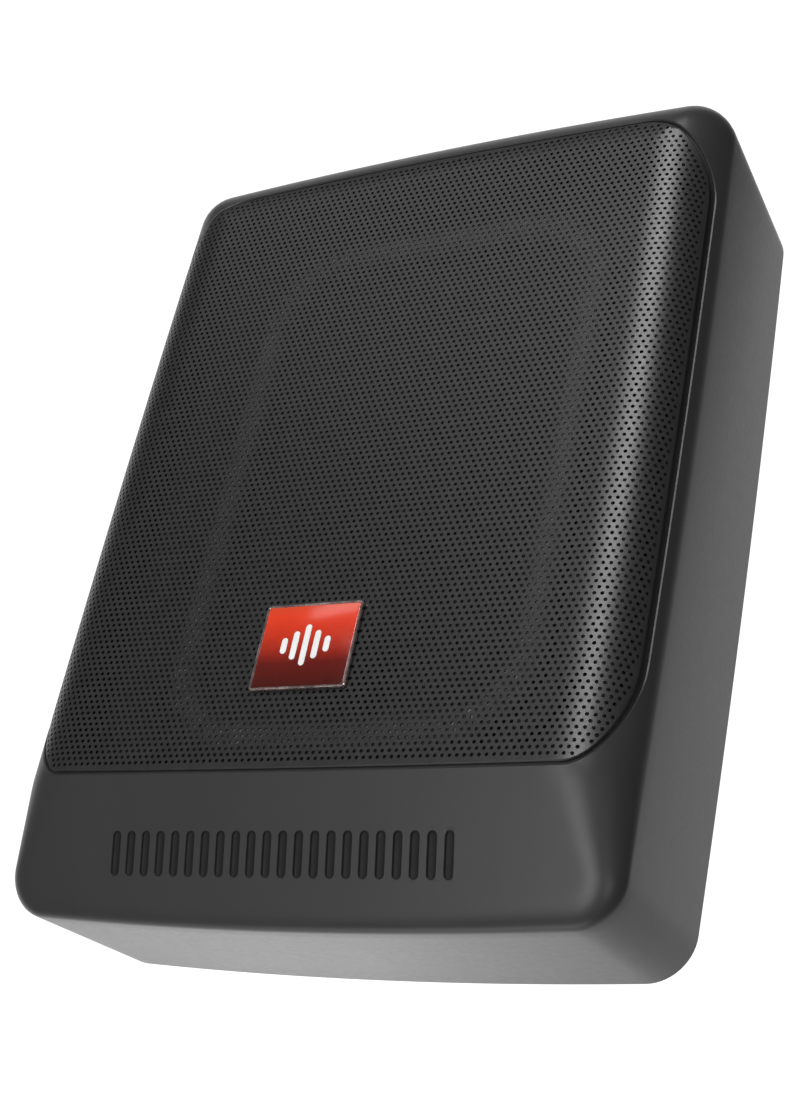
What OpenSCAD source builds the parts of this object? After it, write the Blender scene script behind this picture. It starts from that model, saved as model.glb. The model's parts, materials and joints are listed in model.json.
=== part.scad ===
// Compact powered subwoofer for the floor under a car seat: a one-piece crowned
// shell, a perforated grille, a racetrack woofer, its amplifier and a rear panel.
// X runs across, +Y towards the control panel, +Z up. The origin is on the floor,
// under the middle of the shell.

/* [Shell] */
// Width of the shell at its widest level
shell_w = 200; // [198:1:206]
// Length of the shell at its widest level
shell_l = 270; // [268:1:276]
// Height of the crown above the floor
crown_top = 70; // [70:0.5:72]
// Radius of the rounded shoulder round the crown
crown_r = 15.4; // [15:0.1:16]
// Radius of the upright corners
corner_r = 13.3; // [12:0.1:15]
// How far the long sides bow outwards
side_bow = 1.4; // [1:0.1:2]
// How far the short ends bow outwards
end_bow = 3.1; // [2.5:0.1:3.5]
// How far the long sides draw in towards the floor
side_draft = 1.7; // [1:0.1:2]
// How far the short ends draw in towards the floor
end_draft = 4.1; // [3:0.1:4.5]
// Casting wall thickness
wall = 3; // [2.8:0.1:3.2]
// Height of the shell's lower edge above the floor
shell_z = 3.2; // [3:0.1:3.4]

/* [Front panel] */
// Distance from the middle of the shell to the top of the sloping panel
panel_start = 94; // [92:0.5:95]
// Height of the shoulder that is left at the panel's front edge
panel_lip = 2.5; // [2:0.1:4]
// Number of recessed bars on the panel
bar_count = 22; // [10:1:24]
// Width of one recessed bar
bar_w = 2.5; // [2:0.1:3]
// Length of one recessed bar along the slope
bar_l = 12.5; // [8:0.5:14]
// Depth of the recessed bars
bar_depth = 0.6; // [0.4:0.1:1]

/* [Grille] */
// Half width of the grille opening
grille_hw = 98.2; // [97.8:0.1:98.4]
// Distance from the middle of the shell to the opening's rear edge
grille_rear = 123.8; // [123:0.1:124.5]
// Gap round the grille
grille_gap = 0.8; // [0.6:0.1:1]
// Thickness of the perforated sheet
grille_t = 0.6; // [0.5:0.1:0.9]

/* [Badge] */
// Width of the badge
badge_w = 32.4; // [28:0.2:34]
// Length of the badge
badge_l = 27.2; // [24:0.2:28]
// Sideways place of the badge
badge_x = -3.4; // [-6:0.2:6]
// Lengthwise place of the badge
badge_y = -56; // [-60:1:-50]

/* [Woofer] */
// Lengthwise place of the woofer's axis
woofer_y = 12; // [12:0.1:12.5]
// Half width of the woofer's mounting flange
flange_hw = 74.5; // [73:0.5:76]
// Half length of the woofer's mounting flange
flange_hl = 98.4; // [98:0.1:98.5]
// Half width at the top of the surround's roll
roll_hw = 58.5; // [57:0.5:60]
// Half length at the top of the surround's roll
roll_hl = 88; // [87:0.5:88.5]
// Radius of the surround's corners
roll_corner = 27; // [26.5:0.1:27.5]
// Radius of the surround's half roll
roll_r = 6.5; // [6:0.1:7]
// Voice coil former inner radius
former_r = 13; // [12.9:0.05:13.1]
// Cone travel each way
cone_travel = 4; // [3:0.5:4]

/* [Controls] */
// Half width of the opening in the rear wall
port_hw = 76; // [76:0.5:77]
// Height of the knob shafts above the floor
knob_z = 21; // [20.5:0.1:21.5]
// Radius of the knobs
knob_r = 4.6; // [4:0.1:5]
// Radius of a potentiometer shaft
shaft_r = 1.5; // [1.4:0.05:1.6]
// Outer radius of a phono jack's barrel
jack_r = 4.15; // [4:0.05:4.3]

/* [Base] */
// Thickness of the base plate
base_t = 2.5; // [2:0.1:2.8]
// Spacing of the bracket nuts across
nut_dx = 160; // [150:1:164]
// Spacing of the bracket nuts lengthwise
nut_dy = 150; // [140:1:156]
// Bore radius of the bracket nuts
nut_bore_r = 2.1; // [2:0.05:2.3]

/* [Hidden] */
$fn = 48;
CORNER_STEPS = 7;
END_STEPS = 10;
SIDE_STEPS = 14;
CROWN_STEPS = 12;

half_w = shell_w / 2;
half_l = shell_l / 2;
crease_z = crown_top - crown_r;
panel_y = -panel_start;
grille_cy = (grille_rear - panel_start) / 2;
grille_hl = (grille_rear + panel_start) / 2;
grille_rx = [24, 16];
grille_ry = 31;
ledge_w = 4;
ledge_drop = 1.2;

baffle_top = 46.5;
baffle_t = 3;
baffle_z = baffle_top - baffle_t;
flange_over = 7;
flange_r = 42;
hole_hw = flange_hw - flange_over;
hole_hl = flange_hl - flange_over;
hole_r = flange_r - flange_over;

base_z = 3.8;
base_top = base_z + base_t;
seal_t = 0.8;
rim_z = base_top + seal_t;
rim_w = 6;

gasket_t = 1;
flange_z = baffle_top + gasket_t;
flange_t = 2.5;
flange_top = flange_z + flange_t;
surround_t = 0.8;

yoke_z = 9.3;
yoke_t = 4;
magnet_z = yoke_z + yoke_t;
magnet_t = 9;
top_plate_z = magnet_z + magnet_t;
top_plate_t = 4;
basket_z = top_plate_z + top_plate_t;
landing_z = basket_z + 5.7;
coil_z = 18.6;
coil_t = 0.6;
coil_h = top_plate_t + 2 * cone_travel;
former_t = 0.4;
former_top = 39.5;

panel_back = 124;
panel_t = 2;
panel_face = panel_back + panel_t;
port_z = 13;
port_h = 24;
board_z = 12.1;
board_t = 1.6;
board_top = board_z + board_t;
board_hw = 74;
board_y0 = 67;
board_y1 = 121.5;
riser_y = 117.4;
knob_x = [-35, -48, -61];
switch_z = 31;
jack_x = [-7, -21];
jack_z = 24;
jack_l = 7;
lever_w = 1.6;
lever_h = 1.4;
screw_x = 70.8;
screw_zs = [18.5, 31.5];
power_x = 53;
fuse_x = 28;
line_x = 9;
lens_x = -14;
lens_z = 31.5;
socket_z = 15.2;
power_top = 28;
line_top = 26;
fuse_top = 24.3;
fuse_z = (socket_z + fuse_top) / 2;
power_cavity = [22, 10];
line_cavity = [10.4, 8.4];
boss_r = 4;
boss_hole_r = 1.5;
pocket_x = 89;
boss_ys = [-105, -35, 35, 105];
front_boss_x = 45;
front_boss_y = -122.5;
foot_x = 72;
foot_y = 113;
foot_r = 9;
standoff_xs = [-68, 0, 68];
standoff_ys = [72, 106];
sink_y = 57.5;
sink_l = 8;

// ---------- outlines ----------

function mix(a, b, f) = a + (b - a) * f;

// Bows a point of an outline outwards at the middle of its sides.
function bowed(p, front) = [
    p.x * (1 - side_bow / half_w * pow(p.y / half_l, 2)),
    p.y * (1 - (p.y < 0 ? front : 1) * end_bow / half_l * pow(p.x / half_w, 2))];

// Rounded rectangle, anticlockwise from the +X side, with the same count of points
// whatever its size, so that any two of them can be joined ring to ring.
function corner(k, hw, hl, rx, ry) = [for (i = [0:CORNER_STEPS])
    let(a = 90 * (k + i / CORNER_STEPS), sx = (k == 0 || k == 3) ? 1 : -1, sy = k < 2 ? 1 : -1)
    [sx * (hw - rx) + rx * cos(a), sy * (hl - ry) + ry * sin(a)]];
function corner_rx(k, rx) = is_list(rx) ? rx[k < 2 ? 0 : 1] : rx;
function side(a, b, n) = [for (j = [1:n - 1]) mix(a, b, j / n)];
function outline(hw, hl, rx, ry, cy = 0, front = 1) =
    let(cs = [for (k = [0:3]) corner(k, hw, hl, corner_rx(k, rx), ry)])
    [for (k = [0:3]) each [for (p = concat(cs[k],
        side(cs[k][CORNER_STEPS], cs[(k + 1) % 4][0], k % 2 == 0 ? END_STEPS : SIDE_STEPS)))
        bowed([p.x, p.y + cy], front)]];

// Outer face of the shell at height z, moved inwards by m.
function wall_outline(z, m) =
    let(f = (z - shell_z) / (crease_z - shell_z), r = max(corner_r - m, 2))
    outline(half_w - side_draft * (1 - f) - m, half_l - end_draft * (1 - f) - m, r, r);
function grille_outline(m) = outline(grille_hw - m, grille_hl - m,
    [for (r = grille_rx) r - m], grille_ry - m, grille_cy, 0.3);
function woofer_outline(hw, hl, r) =
    [for (p = outline(hw, hl, r, r)) [p.x / bow_x(p), p.y / bow_y(p) + woofer_y]];
function bow_x(p) = 1 - side_bow / half_w * pow(p.y / half_l, 2);
function bow_y(p) = 1 - end_bow / half_l * pow(p.x / half_w, 2);

function at_z(loop, z) = [for (p = loop) [p.x, p.y, z]];

// ---------- crown surface ----------

function crown_h(y) = y > panel_y ? crown_r
    : mix(panel_lip, crown_r, (y + half_l) / (panel_y + half_l));
function edge_gap(p) =
    let(ex = half_w - side_bow * pow(p.y / half_l, 2) - abs(p.x),
        ey = half_l - end_bow * pow(p.x / half_w, 2) - abs(p.y), r = corner_r)
    (ex < r && ey < r) ? r - norm([r - ex, r - ey]) : min(ex, ey);
function crown_rise(p) =
    let(q = min(max(edge_gap(p) / crown_h(p.y), 0), 1)) sqrt(1 - pow(1 - q, 2));
// Height of the crown at p, less a depth d measured square to the surface.
function crown_z(p, d = 0) = crease_z + crown_h(p.y) * crown_rise(p) - d / max(0.5, crown_rise(p));
function on_crown(loop, d = 0) = [for (p = loop) [p.x, p.y, crown_z(p, d)]];

// ---------- solids from rings ----------

function ring_faces(k0, k1, n) = [for (i = [0:n - 1]) let(j = (i + 1) % n,
    a = k0 * n + i, b = k0 * n + j, c = k1 * n + j, d = k1 * n + i) each [[a, d, c], [a, c, b]]];

// Closed ring of material: the rings follow its section once round.
module ring_solid(rings) {
    n = len(rings[0]);
    m = len(rings);
    polyhedron(points = [for (r = rings) each r],
        faces = [for (k = [0:m - 1]) each ring_faces(k, (k + 1) % m, n)]);
}

// Sheet or plug: from a flat ring at the bottom, round the edge, to a flat ring on top.
module capped_solid(rings) {
    n = len(rings[0]);
    m = len(rings);
    polyhedron(points = [for (r = rings) each r],
        faces = concat([[for (i = [0:n - 1]) i]],
            [for (k = [0:m - 2]) each ring_faces(k, k + 1, n)],
            [[for (i = [n - 1:-1:0]) (m - 1) * n + i]]));
}

// Round wire along a route.
function unit(v) = v / norm(v);
function wire_ring(path, k, r) =
    let(a = path[max(k - 1, 0)], b = path[min(k + 1, len(path) - 1)], t = unit(b - a),
        u = unit(cross(t, [0.31, 0.53, 0.79])), w = cross(t, u))
    [for (i = [0:7]) path[k] + r * (cos(45 * i) * u + sin(45 * i) * w)];
module wire(path, r) {
    capped_solid([for (k = [0:len(path) - 1]) wire_ring(path, k, r)]);
}
// Rounds a route by cutting each corner twice.
function cut_corners(p) = concat([p[0]],
    [for (k = [0:len(p) - 2]) each [mix(p[k], p[k + 1], 0.25), mix(p[k], p[k + 1], 0.75)]],
    [p[len(p) - 1]]);
function smooth(p) = cut_corners(cut_corners(p));

// ---------- small shared shapes ----------

module tube(r_out, r_in, h) {
    difference() {
        cylinder(r = r_out, h = h);
        translate([0, 0, -1]) cylinder(r = r_in, h = h + 2);
    }
}
module box(x0, x1, y0, y1, z0, z1) {
    translate([x0, y0, z0]) cube([x1 - x0, y1 - y0, z1 - z0]);
}
module along_y(x, y, z) {
    translate([x, y, z]) rotate([-90, 0, 0]) children();
}
// Pan head screw standing head up, its shank going down from z = 0.
module screw_up(head_r, head_h, shank_r, length) {
    difference() {
        cylinder(r = head_r, h = head_h);
        translate([0, 0, head_h - 0.9]) cylinder(r = head_r * 0.5, h = 2, $fn = 6);
    }
    translate([0, 0, -length]) cylinder(r = shank_r, h = length);
}
module capsule(w, l) {
    square([w, l - w], center = true);
    for (s = [-1, 1]) translate([0, s * (l - w) / 2]) circle(d = w);
}
module rounded(hw, hl, r) {
    square([2 * (hw - r), 2 * hl], center = true);
    square([2 * hw, 2 * (hl - r)], center = true);
    for (x = [-1, 1], y = [-1, 1]) translate([x * (hw - r), y * (hl - r)]) circle(r = r);
}

boss_places = concat([for (x = [-pocket_x, pocket_x], y = boss_ys) [x, y]],
    [for (x = [-front_boss_x, front_boss_x]) [x, front_boss_y]]);
side_screw = [flange_hw - 4.2, 28];
corner_screw = (flange_r - 2.9) * [cos(23), sin(23)];
flange_holes = concat([for (x = [-1, 1], y = [-1, 1]) [x * side_screw.x, woofer_y + y * side_screw.y]],
    [for (x = [-1, 1], y = [-1, 1]) [x * (flange_hw - flange_r + corner_screw.x),
        woofer_y + y * (flange_hl - flange_r + corner_screw.y)]]);

// ---------- shell ----------

ceiling_inset = 2;
ceiling_outline = grille_outline(ledge_w - ceiling_inset);
inner_outline = wall_outline(crease_z, wall + 0.5);
// Underside of the crown: as high as the room between the ledge and the wall allows.
function ceiling(loop) = [for (i = [0:len(loop) - 1])
    let(room = norm(ceiling_outline[i] - inner_outline[i]))
    [loop[i].x, loop[i].y, max(baffle_z + 0.3, min(crown_z(loop[i], wall), baffle_z + room - 1))]];

module shell_casting() {
    crease = wall_outline(crease_z, 0);
    lip = grille_outline(0);
    ledge = grille_outline(ledge_w);
    hole = woofer_outline(hole_hw, hole_hl, hole_r);
    ring_solid(concat(
        [at_z(wall_outline(shell_z, 0), shell_z), at_z(crease, crease_z)],
        [for (k = [1:CROWN_STEPS]) on_crown([for (i = [0:len(crease) - 1])
            mix(crease[i], lip[i], 1 - cos(90 * k / CROWN_STEPS))])],
        [on_crown(lip, ledge_drop), on_crown(ledge, ledge_drop), at_z(ledge, baffle_top),
            at_z(hole, baffle_top), at_z(hole, baffle_z), at_z(ceiling_outline, baffle_z),
            ceiling(ceiling_outline), ceiling(inner_outline),
            at_z(wall_outline(rim_z + 3, wall), rim_z + 3),
            at_z(wall_outline(rim_z + 1.5, rim_w), rim_z + 1.5),
            at_z(wall_outline(rim_z, rim_w), rim_z),
            at_z(wall_outline(rim_z, wall), rim_z),
            at_z(wall_outline(shell_z, wall), shell_z)]));
}

module panel_bars() {
    rise = (crown_r - panel_lip) / (half_l - panel_start);
    mid_y = -115.8;
    pitch = 114 / bar_count;
    for (k = [0:bar_count - 1])
        translate([badge_x + (k - (bar_count - 1) / 2) * pitch, mid_y, crown_z([0, mid_y])])
            rotate([atan(rise), 0, 0])
                translate([0, 0, -bar_depth]) linear_extrude(5) capsule(bar_w, bar_l);
}

module shell() {
    color([0.27, 0.27, 0.28])
    difference() {
        union() {
            shell_casting();
            for (p = boss_places)
                translate([p.x, p.y, rim_z])
                    cylinder(r = boss_r, h = (p.y < panel_y - 15 ? 51 : baffle_z + 1) - rim_z);
        }
        for (p = boss_places) translate([p.x, p.y, rim_z - 1]) cylinder(r = boss_hole_r, h = 15);
        for (p = flange_holes)
            translate([p.x, p.y, baffle_z - 1]) cylinder(r = boss_hole_r, h = baffle_t + 2);
        box(-port_hw, port_hw, 110, 150, port_z, port_z + port_h);
        panel_bars();
    }
}

// ---------- base ----------

module base_plate() {
    color([0.2, 0.2, 0.21])
    difference() {
        translate([0, 0, base_z])
            linear_extrude(base_t) polygon(wall_outline(base_z, wall + 0.4));
        for (p = boss_places) translate([p.x, p.y, 0]) cylinder(r = 2, h = 20);
        for (x = [-1, 1], y = [-1, 1])
            translate([x * nut_dx / 2, y * nut_dy / 2, 0]) cylinder(r = 4, h = 20);
    }
}

module base_seal() {
    color([0.1, 0.1, 0.1])
    translate([0, 0, base_top]) linear_extrude(seal_t) difference() {
        polygon(wall_outline(rim_z, wall + 0.4));
        polygon(wall_outline(rim_z, rim_w));
    }
}

module base_screws() {
    color([0.35, 0.35, 0.36])
    for (p = boss_places)
        translate([p.x, p.y, base_z]) rotate([180, 0, 0]) screw_up(3.5, 1.8, boss_hole_r, 14);
}

module rubber_feet() {
    color([0.07, 0.07, 0.07])
    for (x = [-1, 1], y = [-1, 1]) translate([x * foot_x, y * foot_y, 0]) {
        cylinder(r1 = foot_r - 0.8, r2 = foot_r, h = 1, $fn = 64);
        translate([0, 0, 1]) cylinder(r = foot_r, h = base_z - 1);
    }
}

module bracket_nuts() {
    color([0.78, 0.62, 0.3])
    for (x = [-1, 1], y = [-1, 1]) translate([x * nut_dx / 2, y * nut_dy / 2, base_z])
        tube(4, nut_bore_r, 6);
}

// ---------- grille and badge ----------

module grille() {
    insets = [0, 0.7, 1.7, 3.2, 5.2, 8, 11.5, 15];
    flat_inset = 19;
    flat = grille_outline(grille_gap + flat_inset);
    color([0.1, 0.1, 0.1])
    capped_solid(concat([at_z(flat, crown_top - grille_t)],
        [for (k = [7:-1:0]) on_crown(grille_outline(grille_gap + insets[k]), grille_t)],
        [for (m = insets) on_crown(grille_outline(grille_gap + m))],
        [at_z(flat, crown_top)]));
}

module grille_frame() {
    outer = grille_outline(ledge_w + 0.6);
    inner = grille_outline(ledge_w + 2.8);
    color([0.14, 0.14, 0.14])
    ring_solid([at_z(outer, baffle_top), on_crown(outer, grille_t + 0.1),
        on_crown(inner, grille_t + 0.1), at_z(inner, baffle_top)]);
}

module badge_pad() {
    color([0.15, 0.15, 0.15])
    translate([badge_x, badge_y, crown_top])
        linear_extrude(0.4) rounded(badge_w / 2 - 1.5, badge_l / 2 - 1.5, 1);
}

module badge_plate() {
    color([0.75, 0.14, 0.05])
    translate([badge_x, badge_y, crown_top + 0.4])
        linear_extrude(1) rounded(badge_w / 2 - 0.8, badge_l / 2 - 0.8, 0.8);
}

module badge_bezel() {
    color([0.7, 0.6, 0.58])
    translate([badge_x, badge_y, crown_top + 0.4]) linear_extrude(1.2) difference() {
        rounded(badge_w / 2, badge_l / 2, 1.2);
        rounded(badge_w / 2 - 0.8, badge_l / 2 - 0.8, 0.8);
    }
}

module badge_bars() {
    heights = [5, 9, 13, 9, 5];
    color([0.95, 0.95, 0.95])
    for (k = [0:4])
        translate([badge_x + (k - 2) * 3.6, badge_y, crown_top + 1.4])
            linear_extrude(0.3) capsule(2, heights[k]);
}

// ---------- woofer ----------

rim_h = 3;

module basket() {
    spoke_angles = [for (k = [0:9]) 36 * k];
    color([0.12, 0.12, 0.12]) {
        difference() {
            translate([0, woofer_y, flange_z]) linear_extrude(flange_t) difference() {
                rounded(flange_hw, flange_hl, flange_r);
                rounded(roll_hw - 1, roll_hl - 1, roll_corner - 1);
            }
            for (p = flange_holes) translate([p.x, p.y, flange_z - 1]) cylinder(r = 2, h = 6);
        }
        translate([0, woofer_y, flange_z - rim_h]) linear_extrude(rim_h) difference() {
            rounded(hole_hw - 1, hole_hl - 1, hole_r - 1);
            rounded(hole_hw - 3, hole_hl - 3, hole_r - 3);
        }
        translate([0, woofer_y, 0]) {
            for (a = spoke_angles) spoke(a);
            translate([0, 0, landing_z - 2]) tube(48, 42, 2);
            translate([0, 0, basket_z]) tube(44, 42, landing_z - basket_z);
            translate([0, 0, basket_z]) tube(44, 17, 2);
        }
    }
}

// One arm of the basket, from the spider's landing out to the rim.
module spoke(a) {
    half = 4;
    dir = [cos(a), sin(a)];
    reach_x = (hole_hw - 1.5 - half * abs(dir.y)) / max(abs(dir.x), 0.01);
    reach_y = (hole_hl - 1.5 - half * abs(dir.x)) / max(abs(dir.y), 0.01);
    reach = min(reach_x, reach_y);
    across = [-dir.y, dir.x] * half;
    function end(r, z0, z1) = [for (s = [-1, 1]) each [for (z = s < 0 ? [z1, z0] : [z0, z1])
        [dir.x * r + s * across.x, dir.y * r + s * across.y, z]]];
    capped_solid([end(46.5, landing_z - 2, landing_z), end(reach, flange_z - rim_h, flange_z - 1.8)]);
}

module basket_gasket() {
    color([0.08, 0.08, 0.08])
    translate([0, woofer_y, baffle_top]) linear_extrude(gasket_t) difference() {
        rounded(flange_hw, flange_hl, flange_r);
        rounded(hole_hw, hole_hl, hole_r);
        for (p = flange_holes) translate([p.x, p.y - woofer_y]) circle(r = 2);
    }
}

module basket_screws() {
    color([0.3, 0.3, 0.31])
    for (p = flange_holes) translate([p.x, p.y, flange_top]) screw_up(2.8, 2, boss_hole_r, 8);
}

// Half roll with a flat lip on each side, glued to the basket and to the cone.
module surround() {
    steps = 10;
    color([0.16, 0.16, 0.16])
    ring_solid(concat(
        [roll_ring(roll_r + 1.8, flange_top)],
        [roll_ring(roll_r + 1.8, flange_top + surround_t)],
        [for (k = [0:steps]) roll_arc(180 * k / steps, roll_r, surround_t)],
        [roll_ring(-roll_r - 1.8, flange_top + surround_t), roll_ring(-roll_r - 1.8, flange_top)],
        [for (k = [steps:-1:0]) roll_arc(180 * k / steps, roll_r - surround_t, 0)]));
}
function roll_ring(offset, z) =
    at_z(woofer_outline(roll_hw + offset, roll_hl + offset, roll_corner + offset), z);
function roll_arc(a, r, lift) = roll_ring(r * cos(a), flange_top + lift * (1 - sin(a)) + r * sin(a));

// Shallow racetrack cone, from the surround's inner lip down to the former.
module cone() {
    t = 1;
    neck = 14.4;
    neck_z = 38;
    function level(f, lift) = at_z(woofer_outline(mix(neck, roll_hw - roll_r, f),
        mix(neck, roll_hl - roll_r, f), mix(neck, roll_corner - roll_r, f)), mix(neck_z, flange_top - 1.1, pow(f, 0.9)) + lift);
    color([0.09, 0.09, 0.09])
    ring_solid(concat([for (f = [0, 0.25, 0.5, 0.75, 1]) level(f, 0)],
        [for (f = [1, 0.75, 0.5, 0.25, 0]) level(f, t)]));
}

module dust_cap() {
    r = 24;
    sag = 6;
    ball = (r * r + sag * sag) / (2 * sag);
    color([0.1, 0.1, 0.1])
    translate([0, woofer_y, 42.2]) rotate_extrude($fn = 64) intersection() {
        translate([0, sag - ball]) difference() {
            circle(r = ball, $fn = 180);
            circle(r = ball - 0.8, $fn = 180);
        }
        square([r, sag + 1]);
    }
}

module coil_former() {
    color([0.75, 0.6, 0.35])
    translate([0, woofer_y, coil_z]) tube(former_r + former_t, former_r, former_top - coil_z);
}

module coil_winding() {
    color([0.72, 0.4, 0.2])
    translate([0, woofer_y, coil_z]) tube(former_r + former_t + coil_t, former_r + former_t, coil_h);
}

// Corrugated suspension disc between the landing and the former.
module spider() {
    r0 = former_r + former_t;
    waves = 4;
    steps = 32;
    span = 44 - r0;
    color([0.75, 0.68, 0.4])
    translate([0, woofer_y, landing_z]) rotate_extrude($fn = 64) {
        polygon(concat(
            [for (k = [0:steps]) [r0 + span * k / steps, 1 - cos(360 * waves * k / steps)]],
            [[46.3, 0], [46.3, 0.6]],
            [for (k = [steps:-1:0]) [r0 + span * k / steps, 1.6 - cos(360 * waves * k / steps)]]));
    }
}

module top_plate() {
    color([0.6, 0.61, 0.63])
    translate([0, woofer_y, top_plate_z]) tube(36, 14.4, top_plate_t);
}

module magnet() {
    color([0.22, 0.22, 0.23])
    translate([0, woofer_y, magnet_z]) tube(38, 18, magnet_t);
}

module pole_yoke() {
    color([0.58, 0.59, 0.61])
    translate([0, woofer_y, yoke_z]) {
        tube(36, 3, yoke_t);
        tube(12.3, 3, basket_z - yoke_z);
    }
}

terminal_y = woofer_y - 50;
tab_xs = [-7, 7];

module terminal_strip() {
    color([0.25, 0.2, 0.12])
    box(-11, 11, terminal_y, terminal_y + 2, landing_z - 9, landing_z + 2);
}

module terminal_tabs() {
    color([0.8, 0.75, 0.6])
    for (x = tab_xs) {
        box(x - 2.4, x + 2.4, terminal_y - 0.8, terminal_y, landing_z - 14, landing_z + 1);
        along_y(x, terminal_y - 1.6, landing_z - 1) cylinder(r = 1.4, h = 0.8);
    }
}

module tinsel_leads() {
    color([0.75, 0.6, 0.5])
    for (s = [-1, 1])
        wire(smooth([[7 * s, terminal_y + 2.6, landing_z + 1], [7.5 * s, terminal_y + 5, landing_z + 4],
            [9 * s, terminal_y + 12, landing_z + 6.5], [9 * s, terminal_y + 20, landing_z + 5.5],
            [8 * s, terminal_y + 27, landing_z + 6]]), 0.6);
}

module speaker_wires() {
    colors = [[0.6, 0.06, 0.05], [0.05, 0.05, 0.05]];
    for (k = [0, 1]) {
        x = tab_xs[k];
        e = k * 4;
        land = [-58, 88 + 2 * e];
        color(colors[k])
        wire(smooth([[x, terminal_y - 0.8, 20], [x, terminal_y - 6 - e, 20], [x - 8, terminal_y - 9 - e, 13],
            [-40, terminal_y - 8 - e, 11], [-60 - e, -22, 11], [-76 - e, 10, 12], [-76 - e, 40, 12.5],
            [-76 - e, 76, 12.5], [-75 - e, land.y - 4, 16], [-70, land.y, 20], [land.x, land.y, 21],
            [land.x, land.y, board_top]]), 1.1);
    }
}

// ---------- amplifier ----------

module amp_board() {
    color([0.05, 0.25, 0.12])
    difference() {
        box(-board_hw, board_hw, board_y0, board_y1, board_z, board_top);
        for (x = standoff_xs, y = standoff_ys) translate([x, y, board_z - 1]) cylinder(r = 1.7, h = 4);
    }
}

module riser_board() {
    color([0.05, 0.25, 0.12])
    box(-66.5, -28, riser_y, riser_y + board_t, board_top, 36);
}

module heat_sink() {
    color([0.68, 0.69, 0.7])
    difference() {
        box(-70, 70, sink_y, sink_y + sink_l, base_top, 25);
        for (k = [0:3]) box(-71, 71, sink_y - 1, sink_y + 4, 9.5 + 4 * k, 11.5 + 4 * k);
        for (x = clamp_xs) along_y(x, sink_y + 2, 20.5) cylinder(r = 1.3, h = 10);
    }
}
clamp_xs = [-30, 30];
transistor_xs = [-52, -41, -19, -8, 8, 19, 41, 52];

module transistors() {
    color([0.06, 0.06, 0.06])
    for (x = transistor_xs) {
        box(x - 4.5, x + 4.5, sink_y + sink_l, sink_y + sink_l + 4, 15, 26);
        for (s = [-1, 0, 1])
            box(x + 2.5 * s - 0.4, x + 2.5 * s + 0.4, sink_y + sink_l + 2, sink_y + sink_l + 2.6,
                board_top, 15);
    }
}

module clamp_bar() {
    y = sink_y + sink_l + 4;
    color([0.6, 0.6, 0.62])
    difference() {
        box(-58, 58, y, y + 1.2, 17.5, 23.5);
        for (x = clamp_xs) along_y(x, y - 1, 20.5) cylinder(r = 1.6, h = 4);
    }
}

toroid = [40, 91];

module toroid_core() {
    color([0.75, 0.7, 0.3])
    translate([toroid.x, toroid.y, board_top + 1.2]) tube(9.4, 5, 8);
}

module toroid_winding() {
    turns = 20;
    color([0.72, 0.38, 0.18])
    translate([toroid.x, toroid.y, board_top]) for (k = [0:turns - 1]) rotate([0, 0, 360 * k / turns])
        difference() {
            box(3.8, 10.6, -0.45, 0.45, 0, 10.4);
            box(4.9, 9.5, -1, 1, 1.1, 9.3);
        }
}

module capacitors() {
    places = [for (x = [9, 22.5], y = [78, 91]) [x, y]];
    color([0.08, 0.08, 0.12])
    for (p = places) translate([p.x, p.y, board_top]) {
        cylinder(r = 6, h = 14.5);
        cylinder(r = 5.4, h = 15);
    }
}

module board_standoffs() {
    color([0.8, 0.7, 0.4])
    for (x = standoff_xs, y = standoff_ys)
        translate([x, y, base_top]) tube(3, 1.2, board_z - base_top);
}

module board_screws() {
    color([0.7, 0.7, 0.72]) {
        for (x = standoff_xs, y = standoff_ys) translate([x, y, board_top]) screw_up(2.6, 1.6, 1.2, 5);
        for (x = clamp_xs) along_y(x, sink_y + sink_l + 5.2, 20.5) screw_up(2.6, 1.6, 1.3, 10);
    }
}

// ---------- rear panel ----------

module control_panel() {
    rim = 1.5;
    color([0.09, 0.09, 0.095])
    difference() {
        union() {
            box(-80, 80, panel_back, panel_face, 11, 39.5);
            difference() {
                box(0.4 - port_hw, port_hw - 0.4, panel_face, 129.6, port_z + 0.4, port_z + port_h - 0.4);
                box(0.4 + rim - port_hw, port_hw - 0.4 - rim, panel_face, 140,
                    port_z + 0.4 + rim, port_z + port_h - 0.4 - rim);
            }
        }
        window(power_x, 26.6, socket_z - 0.2, power_top + 0.4);
        window(fuse_x, 21, socket_z - 0.2, fuse_top + 0.3);
        window(line_x, 14.6, socket_z - 0.2, line_top + 0.4);
        for (x = jack_x) along_y(x, panel_back - 1, jack_z) cylinder(r = jack_r + 0.3, h = 5);
        for (x = knob_x) along_y(x, panel_back - 1, knob_z) cylinder(r = 2.2, h = 5);
        for (k = [0:2]) window(knob_x[k], k == 2 ? 6.8 : 4.6, switch_z - 1.2, switch_z + 1.2);
        for (x = [-screw_x, screw_x], z = screw_zs) along_y(x, panel_back - 1, z) cylinder(r = 1.6, h = 5);
        along_y(lens_x, panel_back - 1, lens_z) cylinder(r = 1.5, h = 5);
    }
}
module window(x, w, z0, z1) {
    box(x - w / 2, x + w / 2, panel_back - 1, panel_face + 1, z0, z1);
}

// Angle brackets that hold the panel to the amplifier board.
module panel_brackets() {
    color([0.7, 0.7, 0.72])
    for (s = [-1, 1]) difference() {
        union() {
            box(s * screw_x - 3, s * screw_x + 3, panel_back - 1.5, panel_back, board_top, 36);
            box(s * screw_x - 3, s * screw_x + 3, 112, panel_back, board_top, board_top + 1.5);
        }
        for (z = screw_zs) along_y(s * screw_x, panel_back - 3, z) cylinder(r = 1.3, h = 6);
    }
}

module panel_screws() {
    color([0.12, 0.12, 0.12])
    for (x = [-screw_x, screw_x], z = screw_zs)
        along_y(x, panel_face, z) screw_up(2.5, 1.5, 1.3, 6);
}

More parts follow.
